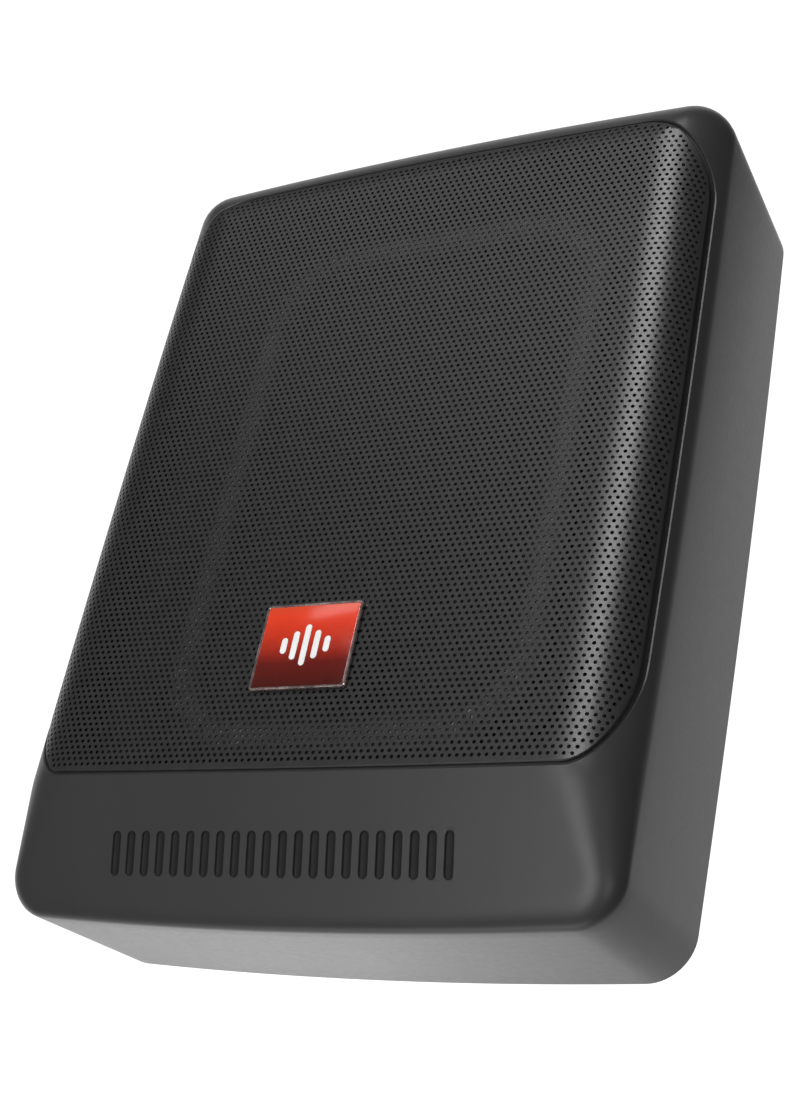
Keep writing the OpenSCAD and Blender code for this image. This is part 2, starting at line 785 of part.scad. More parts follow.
pot_y = riser_y + board_t;
body_y = 112;
pin_y = 117;

module pot_bodies() {
    color([0.15, 0.25, 0.4])
    for (x = knob_x) difference() {
        box(x - 4.8, x + 4.8, pot_y, panel_back - 0.3, knob_z - 4.8, knob_z + 4.8);
        along_y(x, pot_y + 0.5, knob_z) cylinder(r = shaft_r + 0.05, h = 10);
    }
}

module pot_shaft(x) {
    color([0.75, 0.75, 0.77])
    along_y(x, pot_y + 0.8, knob_z) cylinder(r = shaft_r, h = 130.4 - pot_y - 0.8);
}
module gain_shaft() { pot_shaft(knob_x[0]); }
module crossover_shaft() { pot_shaft(knob_x[1]); }
module boost_shaft() { pot_shaft(knob_x[2]); }

module knob(x) {
    y0 = panel_face + 0.6;
    h = 5;
    color([0.13, 0.13, 0.13])
    difference() {
        along_y(x, y0, knob_z) cylinder(r = knob_r, h = h);
        along_y(x, y0 - 1, knob_z) cylinder(r = shaft_r, h = 1 + 130.4 - y0);
        for (k = [0:17])
            translate([x, y0, knob_z]) rotate([0, 20 * k + 10, 0])
                translate([knob_r + 0.25, -1, 0]) rotate([-90, 0, 0]) cylinder(r = 0.5, h = 8, $fn = 16);
        box(x - 0.4, x + 0.4, y0 + h - 0.6, y0 + h + 1, knob_z + 0.8, knob_z + knob_r + 1);
    }
}
module gain_knob() { knob(knob_x[0]); }
module crossover_knob() { knob(knob_x[1]); }
module boost_knob() { knob(knob_x[2]); }

module switch_bodies() {
    color([0.6, 0.6, 0.62])
    for (k = [0:2]) difference() {
        box(knob_x[k] - 5, knob_x[k] + 5, pot_y, panel_back - 0.4, switch_z - 2.4, switch_z + 2.4);
        box(knob_x[k] - (k == 2 ? 3.4 : 2.3), knob_x[k] + (k == 2 ? 3.4 : 2.3),
            pot_y + 1.6, panel_back + 1, switch_z - 1.2, switch_z + 1.2);
    }
}

module lever(x) {
    color([0.85, 0.85, 0.85])
    box(x - lever_w / 2, x + lever_w / 2, pot_y + 2, 128.8, switch_z - lever_h / 2, switch_z + lever_h / 2);
}
module phase_lever() { lever(knob_x[0] + 1); }
module level_lever() { lever(knob_x[1] + 1); }
module auto_on_lever() { lever(knob_x[2]); }

module phono_jacks() {
    color([0.8, 0.65, 0.35])
    for (x = jack_x) {
        difference() {
            union() {
                along_y(x, 118, jack_z) cylinder(r = jack_r - 0.2, h = panel_face - 118);
                along_y(x, panel_face, jack_z) cylinder(r = jack_r, h = jack_l);
            }
            along_y(x, 124.5, jack_z) cylinder(r = 3.7, h = 10);
        }
        box(x - 5.2, x + 5.2, body_y, 118, board_top, jack_z + 5);
    }
}

module phono_contacts() {
    color([0.85, 0.85, 0.82])
    for (x = jack_x) difference() {
        along_y(x, 124.5, jack_z) union() {
            cylinder(r = 3.7, h = 2);
            cylinder(r = 2.6, h = 8);
        }
        along_y(x, 126, jack_z) cylinder(r = 1.65, h = 10);
    }
}

// Body that stands on the board, stepped up where it passes through the panel.
module stepped_body(x, w, y1, z1) {
    box(x - w / 2, x + w / 2, body_y, panel_back - 0.2, board_top, z1);
    box(x - w / 2, x + w / 2, panel_back - 0.4, y1, socket_z, z1);
}

function middle(z1) = (socket_z + z1) / 2;

module socket(x, w, z1, cavity) {
    difference() {
        stepped_body(x, w, 130, z1);
        box(x - cavity.x / 2, x + cavity.x / 2, pin_y, 131, middle(z1) - cavity.y / 2, middle(z1) + cavity.y / 2);
    }
}

module power_socket() {
    color([0.85, 0.85, 0.8])
    socket(power_x, 26, power_top, power_cavity);
}

module line_socket() {
    color([0.85, 0.85, 0.8])
    socket(line_x, 14, line_top, line_cavity);
}

module socket_pins() {
    color([0.8, 0.78, 0.6]) {
        for (k = [-1, 0, 1]) pin(power_x + 6.6 * k, middle(power_top), 2, 0.4, 125);
        for (s = [-1, 1], t = [-1, 1]) pin(line_x + 2.6 * s, middle(line_top) + 2.2 * t, 0.5, 0.5, 124.5);
    }
}
module pin(x, z, hw, hh, y1) {
    box(x - hw, x + hw, pin_y, y1, z - hh, z + hh);
}

module fuse_holder() {
    color([0.1, 0.1, 0.1])
    difference() {
        stepped_body(fuse_x, 20.4, 128.6, fuse_top);
        box(fuse_x - 9.5, fuse_x + 9.5, 119, 130, fuse_z - 2.7, fuse_z + 2.7);
        for (s = [-1, 1]) box(fuse_x + 6 * s - 2.6, fuse_x + 6 * s + 2.6, 113, 120, fuse_z - 0.4, fuse_z + 0.4);
    }
}

module fuse() {
    color([0.15, 0.35, 0.8])
    box(fuse_x - 9.2, fuse_x + 9.2, 121, 131, fuse_z - 2.4, fuse_z + 2.4);
    color([0.8, 0.8, 0.8])
    for (s = [-1, 1]) box(fuse_x + 6 * s - 2.4, fuse_x + 6 * s + 2.4, 114, 121.5, fuse_z - 0.3, fuse_z + 0.3);
}

module status_lens() {
    color([0.75, 0.2, 0.15])
    along_y(lens_x, panel_back - 2, lens_z) {
        cylinder(r = 1.5, h = panel_t + 2.8);
        cylinder(r = 2.2, h = 2);
    }
}

shell();
base_plate();
base_seal();
base_screws();
rubber_feet();
bracket_nuts();
grille();
grille_frame();
badge_pad();
badge_plate();
badge_bezel();
badge_bars();
basket();
basket_gasket();
basket_screws();
surround();
cone();
dust_cap();
coil_former();
coil_winding();
spider();
top_plate();
magnet();
pole_yoke();
terminal_strip();
terminal_tabs();
tinsel_leads();
speaker_wires();
amp_board();
riser_board();
heat_sink();
transistors();
clamp_bar();
toroid_core();
toroid_winding();
capacitors();
board_standoffs();
board_screws();
control_panel();
panel_brackets();
panel_screws();
pot_bodies();
gain_knob();
crossover_knob();
boost_knob();
gain_shaft();
crossover_shaft();
boost_shaft();
switch_bodies();
phase_lever();
level_lever();
auto_on_lever();
phono_jacks();
phono_contacts();
power_socket();
line_socket();
socket_pins();
fuse_holder();
fuse();
status_lens();
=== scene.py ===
"""Compact powered car subwoofer: the visual model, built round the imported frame.

Outlines and sections are worked out in millimetres, in the CAD frame, and turned into metres
when a mesh is made. Visible shells and soft parts are rebuilt here with finer shapes; the other
CAD nodes stay as they are, or come back with softened edges, and each gets its own finish.
"""
import json
import math

import bmesh
import bpy
import numpy as np
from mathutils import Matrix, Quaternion, Vector
from mathutils.geometry import delaunay_2d_cdt


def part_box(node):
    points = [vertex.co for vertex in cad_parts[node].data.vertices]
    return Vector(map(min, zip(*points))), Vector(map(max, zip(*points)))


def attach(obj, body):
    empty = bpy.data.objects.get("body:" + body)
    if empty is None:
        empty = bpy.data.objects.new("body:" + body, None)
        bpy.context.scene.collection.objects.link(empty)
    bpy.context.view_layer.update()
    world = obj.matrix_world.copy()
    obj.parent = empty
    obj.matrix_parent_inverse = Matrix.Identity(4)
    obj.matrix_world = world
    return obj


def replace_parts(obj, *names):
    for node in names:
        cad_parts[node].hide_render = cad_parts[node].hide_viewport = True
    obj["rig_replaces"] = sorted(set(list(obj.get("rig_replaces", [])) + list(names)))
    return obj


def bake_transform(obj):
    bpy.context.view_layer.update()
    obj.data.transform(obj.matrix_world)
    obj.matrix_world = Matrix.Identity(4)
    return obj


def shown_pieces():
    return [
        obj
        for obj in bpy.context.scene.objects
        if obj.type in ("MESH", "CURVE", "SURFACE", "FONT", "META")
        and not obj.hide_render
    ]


MM = 0.001

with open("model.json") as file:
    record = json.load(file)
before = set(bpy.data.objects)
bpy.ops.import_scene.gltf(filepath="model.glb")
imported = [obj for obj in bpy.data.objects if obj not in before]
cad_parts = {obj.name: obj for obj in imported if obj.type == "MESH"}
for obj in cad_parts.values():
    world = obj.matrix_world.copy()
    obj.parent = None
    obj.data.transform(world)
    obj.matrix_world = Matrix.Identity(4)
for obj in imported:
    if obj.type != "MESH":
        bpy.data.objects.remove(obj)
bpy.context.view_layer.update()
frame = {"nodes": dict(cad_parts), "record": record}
nodes = frame["nodes"]


def box_mm(node):
    """Lowest and highest corners of a CAD node, in millimetres."""
    return [np.array(corner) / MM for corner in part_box(node)]


# ---------- camera ----------

CAMERA_TARGET = (-3.6, -3.5, 35.0)
CAMERA_DISTANCE = 598.0
CAMERA_AZIMUTH = 47.2
CAMERA_ELEVATION = 47.28
CAMERA_ROLL = 43.34
CAMERA_LENS = 63.345


def direction(azimuth, elevation):
    """Unit vector from the object towards a point of the sky: azimuth 0 is the front, 90 is +X."""
    a = math.radians(azimuth)
    e = math.radians(elevation)
    return Vector((math.sin(a) * math.cos(e), -math.cos(a) * math.cos(e), math.sin(e)))


def make_camera():
    data = bpy.data.cameras.new("camera")
    data.lens = CAMERA_LENS
    data.clip_start = 0.01
    data.clip_end = 50
    camera = bpy.data.objects.new("camera", data)
    back = direction(CAMERA_AZIMUTH, CAMERA_ELEVATION)
    camera.location = (Vector(CAMERA_TARGET) + back * CAMERA_DISTANCE) * MM
    camera.rotation_mode = "QUATERNION"
    level = (-back).to_track_quat("-Z", "Y")
    camera.rotation_quaternion = level @ Quaternion((0, 0, 1), -math.radians(CAMERA_ROLL))
    bpy.context.scene.collection.objects.link(camera)
    bpy.context.scene.camera = camera


make_camera()

# ---------- outlines of the shell and the grille, as in the CAD ----------

shell_lo, shell_hi = box_mm("shell")
grille_lo, grille_hi = box_mm("grille")
HALF_W = shell_hi[0]
HALF_L = shell_hi[1]
CROWN_TOP = grille_hi[2]
SHELL_Z = shell_lo[2]
CROWN_R = 15.4
CREASE_Z = CROWN_TOP - CROWN_R
SHOULDER_REACH = 1.43
SHOULDER_POWER = 2.3
CORNER_R = 13.3
SIDE_BOW = 1.4
END_BOW = 3.1
SIDE_DRAFT = 1.7
END_DRAFT = 4.1
WALL = 3.0
RIM_Z = 7.1
RIM_W = 6.0
PANEL_Y = -94.0
PANEL_LIP = 2.5
GRILLE_HW = 98.2
GRILLE_REAR = 123.8
GRILLE_CY = (GRILLE_REAR + PANEL_Y) / 2
GRILLE_HL = (GRILLE_REAR - PANEL_Y) / 2
GRILLE_RX = (24.0, 16.0)
GRILLE_RY = 31.0
GRILLE_GAP = 0.8
LEDGE_W = 4.0
LEDGE_DROP = 1.2
BAFFLE_TOP = 46.5
BAFFLE_T = 3.0
WOOFER_Y = 12.0
ROLL_HW = 58.5
ROLL_HL = 88.0
ROLL_R = 6.5
ROLL_CORNER = 27.0
FLANGE_TOP = 50.0

FINE = (14, 44, 60)


def mix(a, b, f):
    return a + (b - a) * f


def side_shape(p):
    return 1 - SIDE_BOW / HALF_W * (p[:, 1] / HALF_L) ** 2


def end_shape(p, front=1.0):
    return 1 - np.where(p[:, 1] < 0, front, 1) * END_BOW / HALF_L * (p[:, 0] / HALF_W) ** 2


def rounded_loop(hw, hl, rx, ry, steps):
    """Rounded rectangle, anticlockwise from its +X side, with a point count set only by steps."""
    corner_steps, end_steps, side_steps = steps
    rx = rx if isinstance(rx, tuple) else (rx, rx)
    angle = np.linspace(0, 90, corner_steps + 1)
    corners = []
    for k in range(4):
        r = rx[0] if k < 2 else rx[1]
        turn = np.radians(90 * k + angle)
        sx = 1 if k in (0, 3) else -1
        sy = 1 if k < 2 else -1
        corners.append(np.stack([sx * (hw - r) + r * np.cos(turn), sy * (hl - ry) + ry * np.sin(turn)], 1))
    loop = []
    for k in range(4):
        n = end_steps if k % 2 == 0 else side_steps
        f = (np.arange(1, n) / n)[:, None]
        loop += [corners[k], mix(corners[k][-1], corners[(k + 1) % 4][0], f)]
    return np.concatenate(loop)


def bowed_loop(hw, hl, rx, ry, cy=0.0, front=1.0, steps=FINE):
    p = rounded_loop(hw, hl, rx, ry, steps) + (0, cy)
    return np.stack([p[:, 0] * side_shape(p), p[:, 1] * end_shape(p, front)], 1)


def wall_loop(z, m, steps=FINE):
    """Outer face of the shell at height z, moved inwards by m."""
    f = (z - SHELL_Z) / (CREASE_Z - SHELL_Z)
    r = max(CORNER_R - m, 2)
    return bowed_loop(HALF_W - SIDE_DRAFT * (1 - f) - m, HALF_L - END_DRAFT * (1 - f) - m, r, r, steps=steps)


def grille_loop(m, steps=FINE):
    rx = tuple(r - m for r in GRILLE_RX)
    return bowed_loop(GRILLE_HW - m, GRILLE_HL - m, rx, GRILLE_RY - m, GRILLE_CY, 0.3, steps)


def woofer_loop(hw, hl, r, steps=FINE):
    return rounded_loop(hw, hl, r, r, steps) + (0, WOOFER_Y)


# ---------- crown surface ----------


def crown_h(y):
    return np.where(y > PANEL_Y, CROWN_R, mix(PANEL_LIP, CROWN_R, (y + HALF_L) / (PANEL_Y + HALF_L)))


def crown_rise(p):
    """How far up its shoulder a point of the crown stands, from 0 at the crease to 1."""
    ex = HALF_W - SIDE_BOW * (p[:, 1] / HALF_L) ** 2 - abs(p[:, 0])
    ey = HALF_L - END_BOW * (p[:, 0] / HALF_W) ** 2 - abs(p[:, 1])
    in_corner = (ex < CORNER_R) & (ey < CORNER_R)
    gap = np.where(in_corner, CORNER_R - np.hypot(CORNER_R - ex, CORNER_R - ey), np.minimum(ex, ey))
    q = np.clip(gap / (SHOULDER_REACH * crown_h(p[:, 1])), 0, 1)
    return (1 - (1 - q) ** SHOULDER_POWER) ** (1 / SHOULDER_POWER)


def crown_z(p, d=0.0):
    rise = crown_rise(p)
    return CREASE_Z + crown_h(p[:, 1]) * rise - d / np.maximum(0.5, rise)


def on_crown(loop, d=0.0):
    return np.column_stack([loop, crown_z(loop, d)])


def at_z(loop, z):
    return np.column_stack([loop, np.broadcast_to(z, len(loop))])


# ---------- meshes ----------


def new_object(name, vertices_mm, faces, materials=(), sharp=32):
    """A smooth-shaded object in metres, with edges sharper than the given angle kept crisp."""
    mesh = bpy.data.meshes.new(name)
    mesh.from_pydata(np.asarray(vertices_mm, float) * MM, [], faces)
    obj = bpy.data.objects.new(name, mesh)
    bpy.context.scene.collection.objects.link(obj)
    for m in materials:
        mesh.materials.append(m)
    shade(mesh, sharp)
    return obj


def shade(mesh, sharp=32):
    mesh.shade_smooth()
    mesh.set_sharp_from_angle(angle=math.radians(sharp))


def ring_faces(count, n, closed):
    last = count if closed else count - 1
    faces = []
    for k in range(last):
        a = k * n
        b = (k + 1) % count * n
        faces += [(a + i, a + (i + 1) % n, b + (i + 1) % n, b + i) for i in range(n)]
    return faces


def ring_solid(name, rings, materials=(), sharp=32):
    """A closed ring of material: the rings follow its section once round."""
    faces = ring_faces(len(rings), len(rings[0]), True)
    return new_object(name, np.concatenate(rings), faces, materials, sharp)


def capped_solid(name, rings, materials=(), sharp=32):
    """A plug from a flat first ring, round its edge, to a flat last ring."""
    n = len(rings[0])
    faces = ring_faces(len(rings), n, False)
    faces.append(tuple(range(n - 1, -1, -1)))
    faces.append(tuple((len(rings) - 1) * n + i for i in range(n)))
    return new_object(name, np.concatenate(rings), faces, materials, sharp)


def joined(name, parts, sharp=32):
    """One object made of several closed meshes; each part is (vertices_mm, faces, material index)."""
    vertices, faces, marks = [], [], []
    for v, f, mark in parts:
        faces += [tuple(i + len(vertices) for i in face) for face in f]
        marks += [mark] * len(f)
        vertices += [tuple(p) for p in v]
    obj = new_object(name, vertices, faces, sharp=sharp)
    obj.data.polygons.foreach_set("material_index", marks)
    return obj


def apply_modifiers(obj):
    graph = bpy.context.evaluated_depsgraph_get()
    mesh = bpy.data.meshes.new_from_object(obj.evaluated_get(graph))
    obj.modifiers.clear()
    obj.data = mesh


def boolean(obj, tool, operation):
    m = obj.modifiers.new("boolean", "BOOLEAN")
    m.object = tool
    m.operation = operation
    m.solver = "EXACT"
    apply_modifiers(obj)
    bpy.data.objects.remove(tool)


def bevel_edges(bm, edges, width, segments):
    bmesh.ops.bevel(bm, geom=edges, offset=width * MM, offset_type="OFFSET", segments=segments,
                    profile=0.5, affect="EDGES", clamp_overlap=False)


def put(obj, body, slot, *replaced):
    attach(obj, body)
    if replaced:
        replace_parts(obj, *replaced)
    return obj


# ---------- materials ----------


class Finish:
    """A node material whose colour, roughness and relief all come from procedural patterns."""

    def __init__(self, name, roughness=0.5, metallic=0.0, specular=0.5, coat=0.0, sheen=0.0):
        self.material = bpy.data.materials.new(name)
        self.material.use_nodes = True
        self.tree = self.material.node_tree
        self.shader = self.tree.nodes["Principled BSDF"]
        self.shader.inputs["Roughness"].default_value = roughness
        self.shader.inputs["Metallic"].default_value = metallic
        self.shader.inputs["Specular IOR Level"].default_value = specular
        self.shader.inputs["Coat Weight"].default_value = coat
        self.shader.inputs["Coat Roughness"].default_value = 0.12
        self.shader.inputs["Sheen Weight"].default_value = sheen
        self.place = self.tree.nodes.new("ShaderNodeTexCoord").outputs["Object"]

    def node(self, kind, **values):
        made = self.tree.nodes.new(kind)
        for key, value in values.items():
            if hasattr(made, key):
                setattr(made, key, value)
            else:
                made.inputs[key.replace("_", " ")].default_value = value
        return made

    def link(self, a, b):
        self.tree.links.new(a, b)

    def stretched(self, scale):
        m = self.node("ShaderNodeMapping")
        m.inputs["Scale"].default_value = scale
        self.link(self.place, m.inputs["Vector"])
        return m.outputs["Vector"]

    def noise(self, scale, detail=3.0, stretch=(1, 1, 1)):
        n = self.node("ShaderNodeTexNoise", Scale=scale, Detail=detail)
        self.link(self.stretched(stretch), n.inputs["Vector"])
        return n.outputs["Fac"]

    def cells(self, scale, feature="F1"):
        n = self.node("ShaderNodeTexVoronoi", Scale=scale, feature=feature)
        self.link(self.place, n.inputs["Vector"])
        return n.outputs["Distance"]

    def waves(self, scale, axis="X", distortion=0.0):
        n = self.node("ShaderNodeTexWave", Scale=scale, Distortion=distortion)
        n.bands_direction = axis
        self.link(self.place, n.inputs["Vector"])
        return n.outputs["Fac"]

    def height_along(self, axis, low, high):
        """From 0 to 1 between two places along an axis of the object, in millimetres."""
        parts = self.node("ShaderNodeSeparateXYZ")
        self.link(self.place, parts.inputs["Vector"])
        return self.remap(parts.outputs[axis], (low * MM, high * MM), (0, 1))

    def remap(self, value, source, target):
        n = self.node("ShaderNodeMapRange")
        for key, number in zip(("From Min", "From Max", "To Min", "To Max"), source + target):
            n.inputs[key].default_value = number
        self.link(value, n.inputs["Value"])
        return n.outputs["Result"]

    def combine(self, a, b, how="MULTIPLY"):
        n = self.node("ShaderNodeMath")
        n.operation = how
        self.link(a, n.inputs[0])
        self.link(b, n.inputs[1])
        return n.outputs["Value"]

    def colour(self, factor, stops):
        """Base colour from a factor through a ramp of (place, colour) stops."""
        ramp = self.node("ShaderNodeValToRGB")
        elements = ramp.color_ramp.elements
        while len(elements) < len(stops):
            elements.new(0.5)
        for element, (place, colour) in zip(elements, stops):
            element.position = place
            element.color = (*colour, 1)
        self.link(factor, ramp.inputs["Fac"])
        self.link(ramp.outputs["Color"], self.shader.inputs["Base Color"])
        return self

    def mottled(self, colour, amount, scale, detail=4.0, stretch=(1, 1, 1)):
        """Base colour that wanders a little round one colour."""
        dark = tuple(c * (1 - amount) for c in colour)
        light = tuple(min(1.0, c * (1 + amount)) for c in colour)
        return self.colour(self.noise(scale, detail, stretch), [(0.3, dark), (0.7, light)])

    def rough(self, low, high, scale, stretch=(1, 1, 1)):
        value = self.remap(self.noise(scale, 3.0, stretch), (0.3, 0.7), (low, high))
        self.link(value, self.shader.inputs["Roughness"])
        return self

    def relief(self, height, strength, distance):
        """Bump from a height, distance in millimetres; call it more than once to layer reliefs."""
        n = self.node("ShaderNodeBump", Strength=strength, Distance=distance * MM)
        self.link(height, n.inputs["Height"])
        normal = self.shader.inputs["Normal"]
        if normal.is_linked:
            self.link(normal.links[0].from_socket, n.inputs["Normal"])
        self.link(n.outputs["Normal"], normal)
        return self


def moulded(name, colour, roughness=0.5, grain=0.05, specular=0.5):
    """Moulded plastic with a spark-eroded grain."""
    f = Finish(name, specular=specular)
    f.mottled(colour, 0.12, 60).rough(roughness - 0.06, roughness + 0.06, 400)
    f.relief(f.noise(2600, 2.0), 0.35, grain)
    return f.material


def glossy(name, colour, roughness=0.15, coat=0.6):
    f = Finish(name, coat=coat)
    f.mottled(colour, 0.06, 90).rough(roughness, roughness + 0.06, 500)
    f.relief(f.noise(700, 2.0), 0.15, 0.02)
    return f.material


def painted(name, colour, roughness=0.45, orange_peel=0.03):
    """Powder coat: orange peel with a finer tooth on it."""
    f = Finish(name)
    f.mottled(colour, 0.1, 45).rough(roughness - 0.05, roughness + 0.07, 300)
    f.relief(f.noise(900, 2.0), 0.3, orange_peel).relief(f.noise(4000, 2.0), 0.3, orange_peel / 3)
    return f.material


def brushed(name, colour, roughness=0.32, stretch=(4, 220, 4)):
    f = Finish(name, metallic=1.0)
    f.mottled(colour, 0.12, 30, stretch=stretch).rough(roughness - 0.08, roughness + 0.12, 30, stretch)
    f.relief(f.noise(40, 3.0, stretch), 0.25, 0.01)
    return f.material


def plated(name, colour, roughness=0.28):
    """Zinc, brass or tin plate: cloudy and slightly pitted."""
    f = Finish(name, metallic=1.0)
    f.mottled(colour, 0.14, 140).rough(roughness - 0.08, roughness + 0.14, 260)
    f.relief(f.noise(1500, 3.0), 0.2, 0.01)
    return f.material


def rubbery(name, colour, roughness=0.7):
    f = Finish(name, specular=0.35, sheen=0.15)
    f.mottled(colour, 0.2, 120).rough(roughness - 0.08, roughness + 0.08, 350)
    f.relief(f.noise(1800, 3.0), 0.4, 0.04)
    return f.material


def roll_rubber_painted_light(name):
    """The surround's rubber: pale towards the top of the roll as painted light, dark in its feet as painted
    shade.
    """
    f = Finish(name, roughness=0.45, specular=0.6)
    # painted light and shade: the colour grows paler with height up the roll, as if lit from above
    painted_top_light = f.remap(f.height_along("Z", FLANGE_TOP + 3, FLANGE_TOP + ROLL_R + 0.8), (0, 1), (0, 0.9))
    f.colour(f.combine(painted_top_light, f.remap(f.noise(150), (0.3, 0.7), (0, 0.1)), "ADD"),
             [(0.0, (0.03, 0.03, 0.03)), (0.55, (0.12, 0.12, 0.12)), (1.0, (0.5, 0.5, 0.5))])
    f.rough(0.4, 0.55, 350).relief(f.noise(1800, 3.0), 0.3, 0.03)
    return f.material


def foam(name, colour):
    f = Finish(name, roughness=0.95, specular=0.2)
    f.mottled(colour, 0.35, 700)
    f.relief(f.cells(1600), 0.8, 0.25)
    return f.material


def paper_cone(name, colour):
    """Pressed pulp with long fibres lying in it."""
    f = Finish(name, roughness=0.75, specular=0.3)
    f.mottled(colour, 0.3, 260, 5.0)
    f.relief(f.noise(500, 6.0, (1, 1, 1)), 0.5, 0.12).relief(f.noise(160, 2.0, (1, 12, 1)), 0.3, 0.08)
    return f.material


def wound(name, colour, pitch=0.32, axis="Z"):
    """Enamelled copper laid turn on turn."""
    f = Finish(name, metallic=1.0, coat=0.5)
    turns = f.waves(2 * math.pi / (pitch * MM) / 20, axis)
    dark = tuple(c * 0.55 for c in colour)
    f.colour(f.combine(turns, f.remap(f.noise(300), (0.3, 0.7), (0.8, 1.1))), [(0.1, dark), (0.8, colour)])
    f.rough(0.22, 0.38, 500).relief(turns, 0.7, 0.08)
    return f.material


def woven(name, colour, pitch=0.5):
    """Resin-dipped cloth: two crossed threads."""
    f = Finish(name, roughness=0.8, specular=0.3, sheen=0.2)
    scale = 2 * math.pi / (pitch * MM) / 20
    cloth = f.combine(f.waves(scale, "X", 0.3), f.waves(scale, "Y", 0.3), "MAXIMUM")
    dark = tuple(c * 0.5 for c in colour)
    f.colour(f.combine(cloth, f.remap(f.noise(180), (0.3, 0.7), (0.75, 1.1))), [(0.2, dark), (0.9, colour)])
    f.relief(cloth, 0.6, 0.12)
    return f.material


def sintered(name, colour):
    """Ferrite: dark, gritty, with ground faces."""
    f = Finish(name, roughness=0.6, specular=0.6)
    f.mottled(colour, 0.35, 500).rough(0.5, 0.75, 800)
    f.relief(f.cells(900), 0.3, 0.06)
    return f.material


def circuit(name, colour):
    """Solder mask over a copper pattern that shows as slightly raised tracks."""
    f = Finish(name, roughness=0.3, coat=0.3)
    tracks = f.node("ShaderNodeTexBrick", Scale=1.0, Mortar_Size=0.0003, Brick_Width=0.006, Row_Height=0.0022)
    f.link(f.place, tracks.inputs["Vector"])
    light = tuple(min(1.0, c * 1.7 + 0.01) for c in colour)
    f.colour(f.combine(tracks.outputs["Fac"], f.remap(f.noise(90), (0.35, 0.65), (0.2, 1))),
             [(0.1, colour), (0.9, light)])
    f.relief(tracks.outputs["Fac"], 0.4, 0.05)
    return f.material


def cast_paint(name):
    """The shell's satin charcoal paint: near flat, with a fine tooth."""
    f = Finish(name, specular=0.3)
    f.mottled((0.033, 0.033, 0.0335), 0.04, 35).rough(0.35, 0.39, 500)
    f.relief(f.noise(3600, 2.0), 0.15, 0.012)
    return f.material


def grille_paint(name):
    """Black powder coat on the perforated sheet."""
    f = Finish(name, specular=0.55)
    f.mottled((0.02, 0.02, 0.0205), 0.15, 200).rough(0.32, 0.38, 900)
    f.relief(f.noise(3000, 2.0), 0.25, 0.02)
    return f.material


def badge_red(name, low, high):
    """Red lacquer that shades from orange at its rear edge to dark red at its front edge."""
    f = Finish(name, roughness=0.2, coat=0.8)
    place = f.combine(f.height_along("Y", low, high), f.remap(f.noise(400), (0.3, 0.7), (-0.02, 0.02)), "ADD")
    f.colour(place, [(0.0, (0.05, 0.004, 0.002)), (0.3, (0.12, 0.006, 0.003)), (0.62, (0.56, 0.03, 0.008)),
                     (0.85, (0.76, 0.045, 0.012)), (1.0, (0.66, 0.06, 0.015))])
    f.rough(0.16, 0.24, 300).relief(f.noise(900, 2.0), 0.1, 0.01)
    return f.material


badge_lo, badge_hi = box_mm("badge_bezel")

FINISHES = {
    "cast_shell": cast_paint("cast_shell"),
    "black_steel": grille_paint("black_steel"),
    "sheet_steel": painted("sheet_steel", (0.02, 0.02, 0.021), 0.42),
    "rubber": rubbery("rubber", (0.018, 0.018, 0.018)),
    "foam": foam("foam", (0.02, 0.02, 0.02)),
    "zinc": plated("zinc", (0.55, 0.56, 0.58)),
    "dark_screw": plated("dark_screw", (0.09, 0.09, 0.095), 0.36),
    "brass": plated("brass", (0.75, 0.55, 0.22), 0.24),
    "badge_red": badge_red("badge_red", badge_lo[1], badge_hi[1]),
    "badge_metal": plated("badge_metal", (0.78, 0.62, 0.6), 0.22),
    "badge_white": glossy("badge_white", (0.85, 0.84, 0.83), 0.2, 0.5),
    "black_plastic": moulded("black_plastic", (0.018, 0.018, 0.019), 0.5),
    "cone_paper": paper_cone("cone_paper", (0.03, 0.03, 0.031)),
    # the surround's rubber carries painted light on the top of its roll and painted shade in its feet
    "surround_rubber": roll_rubber_painted_light("surround_rubber"),
    "coil_film": glossy("coil_film", (0.42, 0.26, 0.08), 0.3, 0.2),
    "copper": wound("copper", (0.85, 0.38, 0.16)),
    "spider_cloth": woven("spider_cloth", (0.5, 0.38, 0.14)),
    "ferrite": sintered("ferrite", (0.04, 0.04, 0.042)),
    "bare_steel": brushed("bare_steel", (0.55, 0.56, 0.58)),
    "board_green": circuit("board_green", (0.006, 0.06, 0.022)),
    "phenolic": woven("phenolic", (0.13, 0.07, 0.03), 0.3),
    "wire_skin": glossy("wire_skin", (0.3, 0.015, 0.012), 0.35, 0.1),
    "aluminium": brushed("aluminium", (0.75, 0.76, 0.78), 0.3, (220, 4, 4)),
    "epoxy": moulded("epoxy", (0.015, 0.015, 0.015), 0.6),
    "core_yellow": moulded("core_yellow", (0.5, 0.36, 0.03), 0.4),
    "can_sleeve": glossy("can_sleeve", (0.012, 0.012, 0.04), 0.25, 0.4),
    "pot_blue": moulded("pot_blue", (0.02, 0.05, 0.2), 0.45),
    "knob_black": rubbery("knob_black", (0.022, 0.022, 0.023), 0.6),
    "lever_white": moulded("lever_white", (0.7, 0.7, 0.68), 0.4),
    "socket_nylon": moulded("socket_nylon", (0.62, 0.59, 0.5), 0.42),
    "insulator": moulded("insulator", (0.75, 0.75, 0.73), 0.35),
    "fuse_blue": glossy("fuse_blue", (0.01, 0.07, 0.42), 0.12, 0.5),
    "lens_red": glossy("lens_red", (0.35, 0.01, 0.008), 0.08, 0.8),
}
RED_RING = moulded("insulator_red", (0.5, 0.02, 0.015), 0.35)
